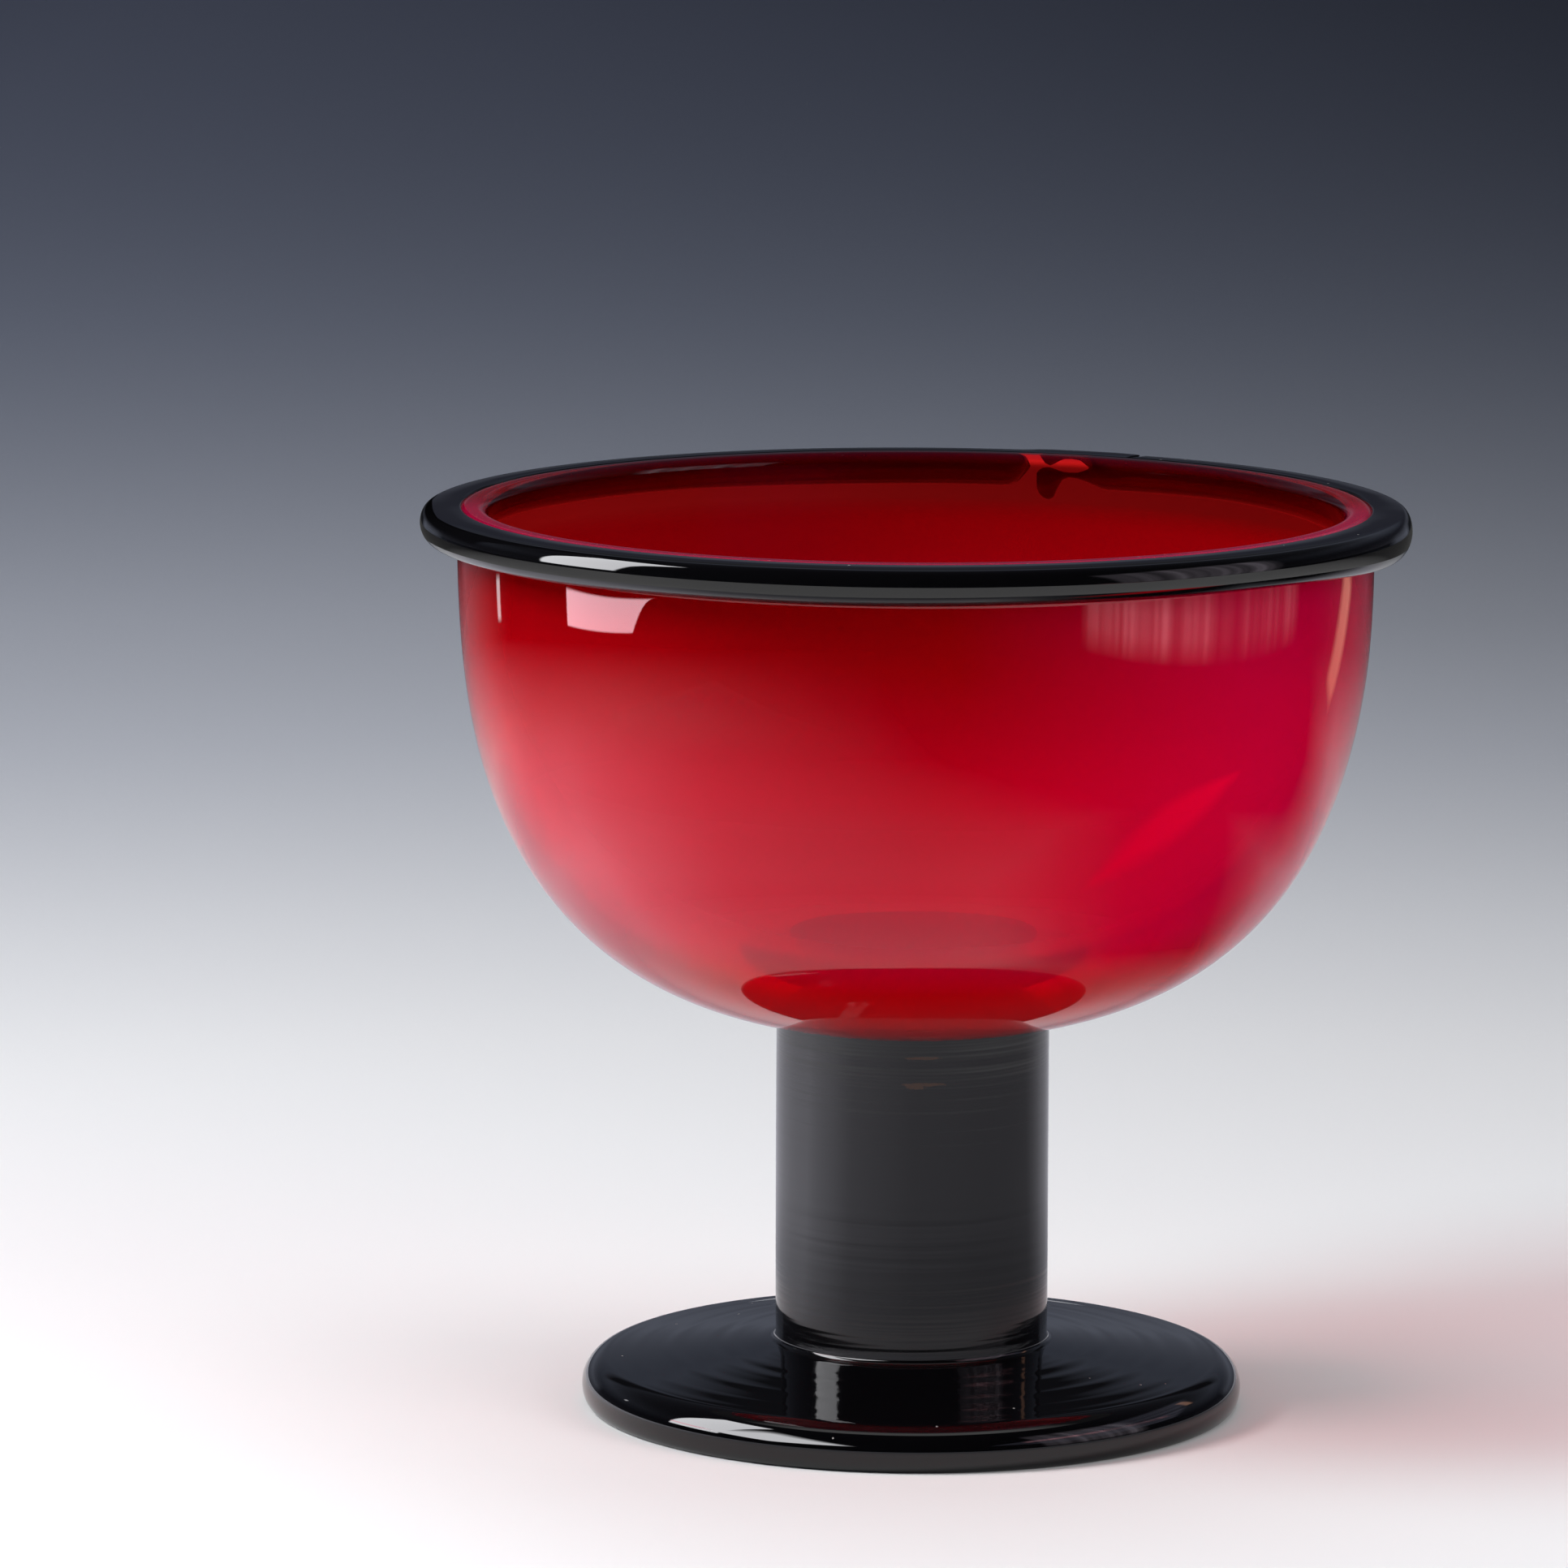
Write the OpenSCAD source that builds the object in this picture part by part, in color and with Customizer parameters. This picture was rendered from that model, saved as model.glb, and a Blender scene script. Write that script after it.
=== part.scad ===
// Footed bowl of blown glass: a clear red cup with a black trail wound round its lip,
// on a solid black stem and a black disc foot. +Z is up, and the origin is the middle
// of the circle that the foot rests on.

/* [Cup] */
// Height of the lip above the table
lip_h = 240; // [225:1:270]
// Radius of the cup's outside, just under the lip
cup_r = 120.2; // [110:0.1:130]
// Depth of the cup's outside, from the lip to its lowest point
cup_depth = 138.6; // [130:0.1:145]
// Thickness of the cup's wall at the lip
wall_t = 8; // [7:0.1:9]
// Thickness of the glass in the middle of the cup's bottom
bottom_t = 14; // [11:0.5:18]
// Power of the side's curve: a lower one keeps the side upright for longer
side_curve_share = 0.777; // [0.72:0.001:0.85]
// Power of the bottom's curve: a lower one makes the bottom flatter
bottom_curve_share = 0.716; // [0.68:0.001:0.78]
// Radius of the lip's outer corner, which the trail lies over
lip_outer_round = 2.8; // [2.4:0.1:3.2]
// Radius of the lip's inner corner, rounded by the flame
lip_inner_round = 3; // [2.4:0.1:3.5]

/* [Lip trail] */
// How far the trail stands out from the cup's wall
trail_w = 9.8; // [8:0.1:12]
// Height of the trail, from its flat top to its underside
trail_h = 9.7; // [9:0.1:11]
// Extra height on the side where the trail was laid on thickest
trail_swell = 2.6; // [1.5:0.1:3]
// How far the trail's top creeps in over the lip's rounded corner
trail_creep = 1.4; // [1:0.1:1.8]
// Radius of the small round along the trail's inner edge
trail_inner_round = 0.6; // [0.4:0.1:0.8]
// How far the trail's top falls towards its outer edge
trail_fall = 0.4; // [0.2:0.1:0.8]
// Width of the rounded corner between the trail's top and its outer side
trail_edge_w = 2.6; // [2:0.1:3]
// Depth of the trail's widest line below its top
trail_shoulder_h = 4.3; // [3.5:0.1:5]
// Distance from the wall to the lowest line of the trail's underside
trail_belly_w = 4.3; // [3.5:0.1:5]
// Height of the band where the trail is fused to the cup's wall
trail_seat_h = 5.8; // [5:0.1:6.5]
// Length of the drawn-out first end, from its drop to where the trail is full
tail_len = 21; // [18:1:26]
// Length of the last end, which thins to a skin and laps over the first
lap_len = 38; // [34:1:44]
// How far the lapping skin reaches past the drawn-out end's drop
lap_reach = 27; // [24:1:30]
// Open seam between the two lapped ends
seam_gap = 0.2; // [0.15:0.05:0.3]
// Place of the drop round the rim, as a share of a turn from +X
join_turn_share = 0.2045; // [0.1:0.0005:0.4]

/* [Stem] */
// Radius of the stem
stem_r = 36; // [32:0.5:42]
// Radius of the soft weld where the stem spreads onto the foot
stem_weld_r = 1.6; // [1:0.1:2.5]

/* [Foot] */
// Radius of the foot
foot_r = 87.6; // [78:0.1:95]
// Height of the foot's widest line above the table
foot_belly_h = 6; // [5:0.1:7]
// Height of the foot's top where its rounded edge ends
foot_edge_h = 13.3; // [12:0.1:14.5]
// Height of the foot's top at the stem
foot_top_h = 17.1; // [16:0.1:18]
// Width of the rounded part of the foot's top edge
foot_edge_w = 6.5; // [5:0.1:8]
// Width of the rounded part of the foot's bottom edge
foot_under_w = 4.6; // [3.5:0.1:6]
// Width of the flat ring that the foot rests on
rest_w = 9; // [6:0.5:12]
// Depth of the hollow under the foot
hollow_d = 2.2; // [1.5:0.1:3]
// Radius of the ground spot where the foot was cracked off its rod
spot_r = 15; // [10:1:20]
// Depth of the ground spot
spot_d = 0.8; // [0.5:0.1:1.2]

/* [Hidden] */

// Segments of a full turn, and of one rounded corner
turn_n = 180;
corner_n = 6;
// Segments of the trail's outer corners, of its small inner round, and of the band
// fused to the wall
edge_n = 4;
round_n = 2;
seat_n = 3;
// Segments of the cup's curve from lip to bottom
curve_n = 40;
// Power that crowds the curve's points towards the lip
crowd_share = 1.6;
// Segments of the trail's plain stretch, and of each of its two ends
trail_n = 84;
tail_n = 28;
lap_n = 24;

// Lowest point of the cup's outside, which the stem's top is pressed against
cup_base_h = lip_h - cup_depth;
// Sizes of the cup's hollow
hollow_r = cup_r - wall_t;
hollow_depth = cup_depth - bottom_t;
// Cuts run past the solids by this much
overrun = 1;

// The foot's flat ring, from its outer to its inner radius
rest_r = foot_r - foot_under_w;
rest_inner_r = rest_r - rest_w;
// Radius of the stem's weld on the foot, where the foot's top starts to fall
weld_r = stem_r + stem_weld_r;

// Radius at which the trail's ends are measured along the rim
trail_mid_r = cup_r + trail_w / 2;
// Thickness of the lapping skin, as a share of the trail's height
skin_share = 0.2;
// Half the width of the thick side's swelling, as a share of a turn
swell_half_share = 0.14;
// Distance past the skin's tip over which the first end's top rises to the rim
rise_len = lap_reach / 3;

// The first end, from its drop: distance along tail_len, depth of its top and its
// underside in trail heights, and its width in trail widths
tail_shares = [
    [0.00, 0.56, 1.02, 0.14],
    [0.03, 0.48, 1.18, 0.26],
    [0.08, 0.42, 1.28, 0.36],
    [0.15, 0.40, 1.33, 0.42],
    [0.22, 0.43, 1.26, 0.38],
    [0.29, 0.47, 0.96, 0.28],
    [0.36, 0.50, 0.74, 0.20],
    [0.46, 0.52, 0.66, 0.18],
    [0.58, 0.51, 0.68, 0.22],
    [0.70, 0.44, 0.76, 0.40],
    [0.82, 0.34, 0.88, 0.72],
    [0.92, 0.26, 0.97, 0.93],
    [1.00, 0.22, 1.00, 1.00]
];
// The last end: distance along lap_len, depth of its underside, and its width
lap_shares = [
    [0.00, 1.00, 1.00],
    [0.06, 0.97, 1.00],
    [0.12, 0.86, 0.99],
    [0.18, 0.60, 0.98],
    [0.23, 0.34, 0.97],
    [0.29, 0.22, 0.96],
    [0.36, 0.20, 0.96],
    [0.80, 0.20, 0.96],
    [0.90, 0.19, 0.90],
    [0.96, 0.16, 0.74],
    [1.00, 0.10, 0.46]
];

function pick(table, column, at) = lookup(at, [for (row = table) [row[0], row[column]]]);
function ease(t) = t <= 0 ? 0 : t >= 1 ? 1 : t * t * (3 - 2 * t);

// A quarter of an ellipse about (x, y), from one angle to another, in count segments.
// first and short leave out points at its start and its end
function corner(x, y, half_w, half_h, from, to, count = corner_n, first = 0, short = 0) = [
    for (i = [first : count - short])
        let (turn = from + (to - from) * i / count)
            [x + half_w * cos(turn), y + half_h * sin(turn)]
];

// The cup's side from the lip down to the axis, with the power curve of each direction
function cup_side(radius, depth) = [
    for (i = [1 : curve_n])
        let (turn = 90 * pow(i / curve_n, crowd_share))
            [
                i == curve_n ? 0 : radius * pow(cos(turn), side_curve_share),
                lip_h - depth * pow(sin(turn), bottom_curve_share)
            ]
];

// Points of a side that lie below the lip's rounded corners
function below_lip(points, corner_r) = [for (p = points) if (p.y < lip_h - corner_r) p];

function reversed(points) = [for (i = [len(points) - 1 : -1 : 0]) points[i]];

module cup_outside() {
    rotate_extrude($fn = turn_n)
        polygon(concat(
            [[0, lip_h], [cup_r - lip_outer_round, lip_h]],
            reversed(corner(cup_r - lip_outer_round, lip_h - lip_outer_round,
                lip_outer_round, lip_outer_round, 0, 90)),
            below_lip(cup_side(cup_r, cup_depth), lip_outer_round)
        ));
}

module cup_hollow() {
    rotate_extrude($fn = turn_n)
        polygon(concat(
            [[0, lip_h + overrun], [hollow_r + lip_inner_round, lip_h + overrun]],
            corner(hollow_r + lip_inner_round, lip_h - lip_inner_round,
                lip_inner_round, lip_inner_round, 90, 180),
            below_lip(cup_side(hollow_r, hollow_depth), lip_inner_round)
        ));
}

// The blown cup, with a thick bottom and a lip rounded by the flame
module cup() {
    color([0.72, 0.03, 0.07, 0.75])
        difference() {
            cup_outside();
            cup_hollow();
        }
}

// How far the cup's outside lies in from cup_r, at a depth below the lip
function lip_in(depth) = depth >= lip_outer_round
    ? 0
    : lip_outer_round - sqrt(max(0, pow(lip_outer_round, 2) - pow(lip_outer_round - depth, 2)));

// Depth at which the trail's inner edge starts on the lip's rounded corner
creep_depth = lip_outer_round - sqrt(pow(lip_outer_round, 2) - pow(lip_outer_round - trail_creep, 2));

// One cross-section of the trail, as distances from the wall and depths below the lip
function section(top, base, width) =
    let (tall = base - top)
    let (share = tall / trail_h)
    let (slim = width / trail_w)
    let (seat = top + trail_seat_h * share)
    let (shoulder = top + trail_shoulder_h * share)
    let (belly = trail_belly_w * slim)
    let (start = max(top + trail_inner_round * share, creep_depth))
    let (start_in = min(trail_creep, lip_in(start)))
    let (inner_w = trail_inner_round * slim)
    let (outer_w = trail_edge_w * slim)
    let (outer_h = trail_shoulder_h * share - trail_fall * share)
    concat(
        [
            for (i = [0 : seat_n - 1])
                let (depth = seat + (start - seat) * i / seat_n)
                    [-lip_in(depth), depth]
        ],
        corner(inner_w - start_in, start, inner_w, start - top, 180, 270, round_n),
        corner(width - outer_w, shoulder, outer_w, outer_h, -90, 0, edge_n),
        corner(belly, shoulder, width - belly, base - shoulder, 0, 90, corner_n, 1),
        corner(belly, seat, belly, base - seat, 90, 180, edge_n, 1, 1)
    );

// A cross-section stood on the rim at an angle. spread keeps the chords between two
// cross-sections clear of the round wall
function placed(points, turn, spread) = [
    for (p = points)
        let (radius = (cup_r + p.x) * spread)
            [radius * cos(turn), radius * sin(turn), lip_h - p.y]
];

function rim_turn(length) = length / trail_mid_r * 180 / PI;

// The angle of each cross-section past the drop, going round clockwise
tail_turn = rim_turn(tail_len);
lap_turn = rim_turn(lap_len);
end_turn = 360 + rim_turn(lap_reach);
lap_start_turn = end_turn - lap_turn;
stations = concat(
    [for (i = [0 : tail_n]) tail_turn * i / tail_n],
    [for (i = [1 : trail_n - 1]) tail_turn + (lap_start_turn - tail_turn) * i / trail_n],
    [for (i = [0 : lap_n]) lap_start_turn + lap_turn * i / lap_n]
);

function swell(turn) =
    let (away = abs(turn - 360 * join_turn_share) / (360 * swell_half_share))
    trail_swell * (1 - ease(away));

function trail_top(turn) = turn <= tail_turn
    ? trail_h * pick(tail_shares, 1, turn / tail_turn)
    : (trail_h * skin_share + seam_gap)
        * (1 - ease((turn - rim_turn(lap_reach)) / rim_turn(rise_len)));

function trail_base(turn) = turn <= tail_turn
    ? trail_h * pick(tail_shares, 2, turn / tail_turn)
    : turn < lap_start_turn
        ? trail_h + swell(turn)
        : trail_h * pick(lap_shares, 1, (turn - lap_start_turn) / lap_turn);

function trail_width(turn) = turn <= tail_turn
    ? trail_w * pick(tail_shares, 3, turn / tail_turn)
    : turn < lap_start_turn
        ? trail_w
        : trail_w * pick(lap_shares, 2, (turn - lap_start_turn) / lap_turn);

chord_turn = (lap_start_turn - tail_turn) / trail_n;
sections = [
    for (turn = stations)
        placed(section(trail_top(turn), trail_base(turn), trail_width(turn)),
            360 * join_turn_share - turn, 1 / cos(chord_turn / 2))
];
ring_n = len(sections[0]);
last_ring = (len(sections) - 1) * ring_n;

// The middle of a cross-section, where the triangles of an end face meet
function middle(points) = [
    for (axis = [0 : 2])
        [for (p = points) p[axis]] * [for (p = points) 1] / len(points)
];

// The trail, wound once round the lip in one length, its last end lapped over its first
module lip_trail() {
    color([0.05, 0.05, 0.06])
        polyhedron(
            points = concat(
                [for (ring = sections) each ring],
                [middle(sections[0]), middle(sections[len(sections) - 1])]
            ),
            faces = concat(
                [for (k = [0 : ring_n - 1]) [k, (k + 1) % ring_n, last_ring + ring_n]],
                [
                    for (i = [0 : len(sections) - 2], k = [0 : ring_n - 1], half = [0, 1])
                        let (next = (k + 1) % ring_n)
                        let (here = i * ring_n)
                        let (there = here + ring_n)
                            half == 0
                                ? [here + next, here + k, there + k]
                                : [here + next, there + k, there + next]
                ],
                [
                    for (k = [0 : ring_n - 1])
                        [last_ring + (k + 1) % ring_n, last_ring + k, last_ring + ring_n + 1]
                ]
            )
        );
}

// The solid stem, pressed to the cup's round bottom and spread where it is welded to the foot
module stem() {
    color([0.06, 0.06, 0.07])
        difference() {
            rotate_extrude($fn = turn_n)
                polygon(concat(
                    [[0, foot_top_h], [weld_r, foot_top_h]],
                    reversed(corner(weld_r, foot_top_h + stem_weld_r,
                        stem_weld_r, stem_weld_r, 180, 270)),
                    [[stem_r, cup_base_h + bottom_t], [0, cup_base_h + bottom_t]]
                ));
            cup_outside();
        }
}

// The disc foot, a little hollow below, with the ground spot left by its rod
module foot() {
    color([0.05, 0.05, 0.06])
        difference() {
            rotate_extrude($fn = turn_n)
                polygon(concat(
                    [[0, 0]],
                    corner(rest_r, foot_belly_h, foot_under_w, foot_belly_h, -90, 0),
                    corner(foot_r - foot_edge_w, foot_belly_h,
                        foot_edge_w, foot_edge_h - foot_belly_h, 0, 90),
                    [[weld_r, foot_top_h], [0, foot_top_h]]
                ));
            rotate_extrude($fn = turn_n)
                polygon(concat(
                    [[0, -overrun], [rest_inner_r, -overrun]],
                    corner(0, 0, rest_inner_r, hollow_d, 0, 90)
                ));
            translate([0, 0, -overrun])
                cylinder(h = overrun + hollow_d + spot_d, r = spot_r, $fn = turn_n);
        }
}

cup();
lip_trail();
stem();
foot();
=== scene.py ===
"""A footed bowl of blown glass: a clear red cup, black trail round its lip, black stem and foot.

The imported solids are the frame. Each of them is replaced by a finer mesh of the same form, with
the uneven surface of glass worked by hand. Lengths in the classes of the bowl's own pieces are
millimetres, as on the maker's bench, and metres in the glasses and the studio.
"""

import logging
import math
from dataclasses import dataclass, field
from enum import Enum
from typing import Callable, Iterable, Mapping, Sequence

import bpy
import numpy as np
from mathutils import Matrix, Quaternion, Vector

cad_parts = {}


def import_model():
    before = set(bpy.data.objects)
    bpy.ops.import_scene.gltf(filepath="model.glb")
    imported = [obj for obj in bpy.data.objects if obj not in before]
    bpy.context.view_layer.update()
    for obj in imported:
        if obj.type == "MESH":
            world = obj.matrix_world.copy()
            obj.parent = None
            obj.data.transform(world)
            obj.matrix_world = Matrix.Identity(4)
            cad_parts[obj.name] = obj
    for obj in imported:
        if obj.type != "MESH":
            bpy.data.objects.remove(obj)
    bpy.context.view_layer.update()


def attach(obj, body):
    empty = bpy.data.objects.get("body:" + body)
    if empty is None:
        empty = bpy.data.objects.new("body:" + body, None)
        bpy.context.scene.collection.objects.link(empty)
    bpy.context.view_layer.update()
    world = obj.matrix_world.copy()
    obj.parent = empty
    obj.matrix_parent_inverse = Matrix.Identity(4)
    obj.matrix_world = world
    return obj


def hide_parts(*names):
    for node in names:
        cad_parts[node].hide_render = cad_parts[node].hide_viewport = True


LOG = logging.getLogger("bowl")
MM = 0.001
ROOT = "root"

SHARP_TURN = 38.0
ROUND_SEGMENTS = 96
MIX_UNDER, MIX_OVER, MIX_COLOUR = 6, 7, 2

Point = tuple[float, float]
Colour = tuple[float, float, float]
Place = tuple[float, float, float]
Row = tuple[float, ...]
Face = tuple[int, ...]
Socket = bpy.types.NodeSocket
Parts = Mapping[str, Socket]


class Slot(Enum):
    """The record's material slots."""

    RED = "clear_red_glass"
    TRAIL = "black_trail_glass"
    STEM = "black_stem_glass"
    FOOT = "black_foot_glass"


def ease(t: float) -> float:
    """A smooth step from 0 to 1."""
    t = min(max(t, 0.0), 1.0)
    return t * t * (3 - 2 * t)


def look_up(table: Sequence[Row], column: int, at: float) -> float:
    """Reads one column of a table at a place between its rows.

    Args:
        table: Rows that start with their place, in rising order.
        column: The column to read.
        at: The place.

    Returns:
        The value there, on the straight line between two rows.
    """
    return float(np.interp(at, [row[0] for row in table], [row[column] for row in table]))


def corner(
    centre: Point, half_w: float, half_h: float, start: float, end: float, count: int
) -> list[Point]:
    """A quarter of an ellipse.

    Args:
        centre: The ellipse's middle.
        half_w: Half its width.
        half_h: Half its height.
        start: The angle of the first point, in degrees.
        end: The angle of the last point, in degrees.
        count: The number of segments.

    Returns:
        The points, both ends among them.
    """
    turns = [math.radians(start + (end - start) * i / count) for i in range(count + 1)]
    return [(centre[0] + half_w * math.cos(t), centre[1] + half_h * math.sin(t)) for t in turns]


def reach_in(values: np.ndarray, start: float, end: float) -> np.ndarray:
    """How far each value has come from start to end, kept from 0 to 1."""
    return np.clip((values - start) / (end - start), 0, 1)


def lobes(rows: Sequence[Row], turn: np.ndarray, height: np.ndarray) -> np.ndarray:
    """Waves that run round the axis, added up.

    Args:
        rows: Count in a full turn, reach, phase and twist per millimetre of height of each wave.
        turn: The angle of each point, in radians.
        height: Its height.

    Returns:
        The distance outwards.
    """
    total = 0.0
    for count, reach, phase, twist in rows:
        total = total + reach * np.cos(count * turn + phase + twist * height)
    return total


def tube_faces(rings: int, around: int) -> list[Face]:
    """The faces of a closed tube: bands between rings of points, and a fan at each end.

    Args:
        rings: The number of rings.
        around: The number of points in each. The middles of the two ends come after them all.

    Returns:
        The corners of each face, facing out where the rings rise and run anticlockwise.
    """
    faces: list[Face] = []
    for i in range(rings - 1):
        for k in range(around):
            after = (k + 1) % around
            here, there = i * around, (i + 1) * around
            faces.append((here + k, here + after, there + after, there + k))
    first, last = rings * around, (rings - 1) * around
    for k in range(around):
        after = (k + 1) % around
        faces.append((first, after, k))
        faces.append((first + 1, last + k, last + after))
    return faces


def make_object(name: str, points: np.ndarray, faces: Iterable[Sequence[int]]) -> bpy.types.Object:
    """Makes a smooth mesh object and links it to the scene.

    Args:
        name: The object's name.
        points: The vertices, in metres.
        faces: The corners of each face.

    Returns:
        The new object.
    """
    mesh = bpy.data.meshes.new(name)
    mesh.from_pydata([tuple(p) for p in points], [], [tuple(f) for f in faces])
    mesh.validate()
    mesh.update()
    mesh.shade_smooth()
    mesh.set_sharp_from_angle(angle=math.radians(SHARP_TURN))
    thing = bpy.data.objects.new(name, mesh)
    bpy.context.scene.collection.objects.link(thing)
    return thing


Wander = Callable[[np.ndarray, np.ndarray, np.ndarray], np.ndarray]


def lathe(name: str, profile: Sequence[Point], segments: int, wander: Wander) -> bpy.types.Object:
    """Turns a profile round the Z axis into a closed mesh.

    Args:
        name: The object's name.
        profile: Radius and height of each point in millimetres, from the axis and back to it.
        segments: The number of segments of a full turn.
        wander: Gives how far each point stands out in radius, from its turn, radius and height.

    Returns:
        The new object.
    """
    inner = [p for p in profile if p[0] > 0]
    radius = np.array([p[0] for p in inner])[:, None]
    height = np.array([p[1] for p in inner])[:, None]
    turn = np.linspace(0, 2 * math.pi, segments, endpoint=False)[None, :]
    out = radius + wander(turn, radius, height)
    rings = np.stack([out * np.cos(turn), out * np.sin(turn), height + 0 * turn], -1)
    points = rings.reshape(-1, 3)
    poles = np.array([[0, 0, profile[0][1]], [0, 0, profile[-1][1]]])
    points = np.concatenate([points, poles]) * MM
    return make_object(name, points, tube_faces(len(inner), segments))


class NodeSet:
    """The nodes of one tree, with short ways to add and link them."""

    def __init__(self, tree: bpy.types.NodeTree) -> None:
        """Keeps the tree and starts at its left edge."""
        self.tree = tree
        self.place = 0

    def add(self, kind: str, links: dict | None = None, **values: object) -> bpy.types.Node:
        """Adds a node.

        Args:
            kind: The node's type name.
            links: For each input socket, by name or number, a source socket or a value.
            **values: Properties of the node itself.

        Returns:
            The new node.
        """
        node = self.tree.nodes.new(kind)
        node.location = (self.place, 0)
        self.place += 180
        for key, value in values.items():
            setattr(node, key, value)
        for key, source in (links or {}).items():
            if isinstance(source, Socket):
                self.tree.links.new(source, node.inputs[key])
            else:
                node.inputs[key].default_value = source
        return node

    def math(self, what: str, *values: object, clamp: bool = False) -> Socket:
        """A Math node's result.

        Args:
            what: The operation's name.
            *values: Its inputs, sockets or numbers.
            clamp: Whether the result is kept from 0 to 1.

        Returns:
            The output socket.
        """
        links = dict(enumerate(values))
        return self.add("ShaderNodeMath", links, operation=what, use_clamp=clamp).outputs[0]

    def times(self, first: object, *others: object) -> Socket:
        """The product of sockets and numbers.

        Args:
            first: The first factor.
            *others: Any number more.

        Returns:
            The output socket, or the first factor where it is the only one.
        """
        for other in others:
            first = self.math("MULTIPLY", first, other)
        return first

    def rest(self, share: object) -> Socket:
        """What a share leaves of 1."""
        return self.math("SUBTRACT", 1.0, share)

    def rise(self, source: object, start: float, end: float) -> Socket:
        """How far a value has come from start to end, kept from 0 to 1."""
        slope = 1 / (end - start)
        return self.math("MULTIPLY_ADD", source, slope, -start * slope, clamp=True)

    def blend(self, share: object, under: object, over: object) -> Socket:
        """Lays one colour over another.

        Args:
            share: How much of the upper colour shows, a socket or a number.
            under: The lower colour, a socket or its red, green and blue.
            over: The upper colour.

        Returns:
            The colour socket.
        """
        links = {0: share}
        for place, colour in ((MIX_UNDER, under), (MIX_OVER, over)):
            links[place] = colour if isinstance(colour, Socket) else (*colour, 1.0)
        return self.add("ShaderNodeMix", links, data_type="RGBA").outputs[MIX_COLOUR]

    def noise(self, vector: Socket, scale: object, detail: float = 2.0) -> Socket:
        """Smooth noise, mostly near 0.5."""
        links = {"Vector": vector, "Scale": scale, "Detail": detail}
        return self.add("ShaderNodeTexNoise", links).outputs[0]

    def mix_shaders(self, share: object, first: bpy.types.Node, second: bpy.types.Node) -> Socket:
        """Mixes two shaders. The share is the second one's."""
        links = {0: share, 1: first.outputs[0], 2: second.outputs[0]}
        return self.add("ShaderNodeMixShader", links).outputs[0]

    def light_path(self, name: str) -> Socket:
        """One output of a Light Path node."""
        return self.add("ShaderNodeLightPath").outputs[name]

    def position(self) -> tuple[Socket, Parts]:
        """The point's place, whole and in its X, Y and Z parts."""
        place = self.add("ShaderNodeNewGeometry").outputs["Position"]
        return place, self.add("ShaderNodeSeparateXYZ", {0: place}).outputs

    def facing(self) -> Socket:
        """1 on the side that the face looks to, 0 behind it."""
        return self.rest(self.add("ShaderNodeNewGeometry").outputs["Backfacing"])

    def turn_share(self, parts: Parts) -> Socket:
        """The turn round the Z axis: 0.25 at the left, 0.5 in front, 0.75 at the right."""
        turn = self.math("ARCTAN2", parts["X"], self.times(parts["Y"], -1.0))
        return self.math("MULTIPLY_ADD", turn, 0.5 / math.pi, 0.5)

    def ramp(self, source: Socket, stops: Sequence[Row]) -> Socket:
        """A colour ramp.

        Args:
            source: What drives it.
            stops: Place, red, green and blue of each stop.

        Returns:
            The colour socket.
        """
        node = self.add("ShaderNodeValToRGB", {0: source})
        band = node.color_ramp
        while len(band.elements) < len(stops):
            band.elements.new(1.0)
        for element, stop in zip(band.elements, stops):
            element.position = stop[0]
            element.color = (*stop[1:4], 1.0)
        return node.outputs[0]

    def grey_ramp(
        self, source: Socket, stops: Sequence[Row], tint: Colour = (1.0, 1.0, 1.0)
    ) -> Socket:
        """A ramp of one tint, with the place and strength of each stop."""
        return self.ramp(source, [(at, *(level * part for part in tint)) for at, level in stops])


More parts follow.
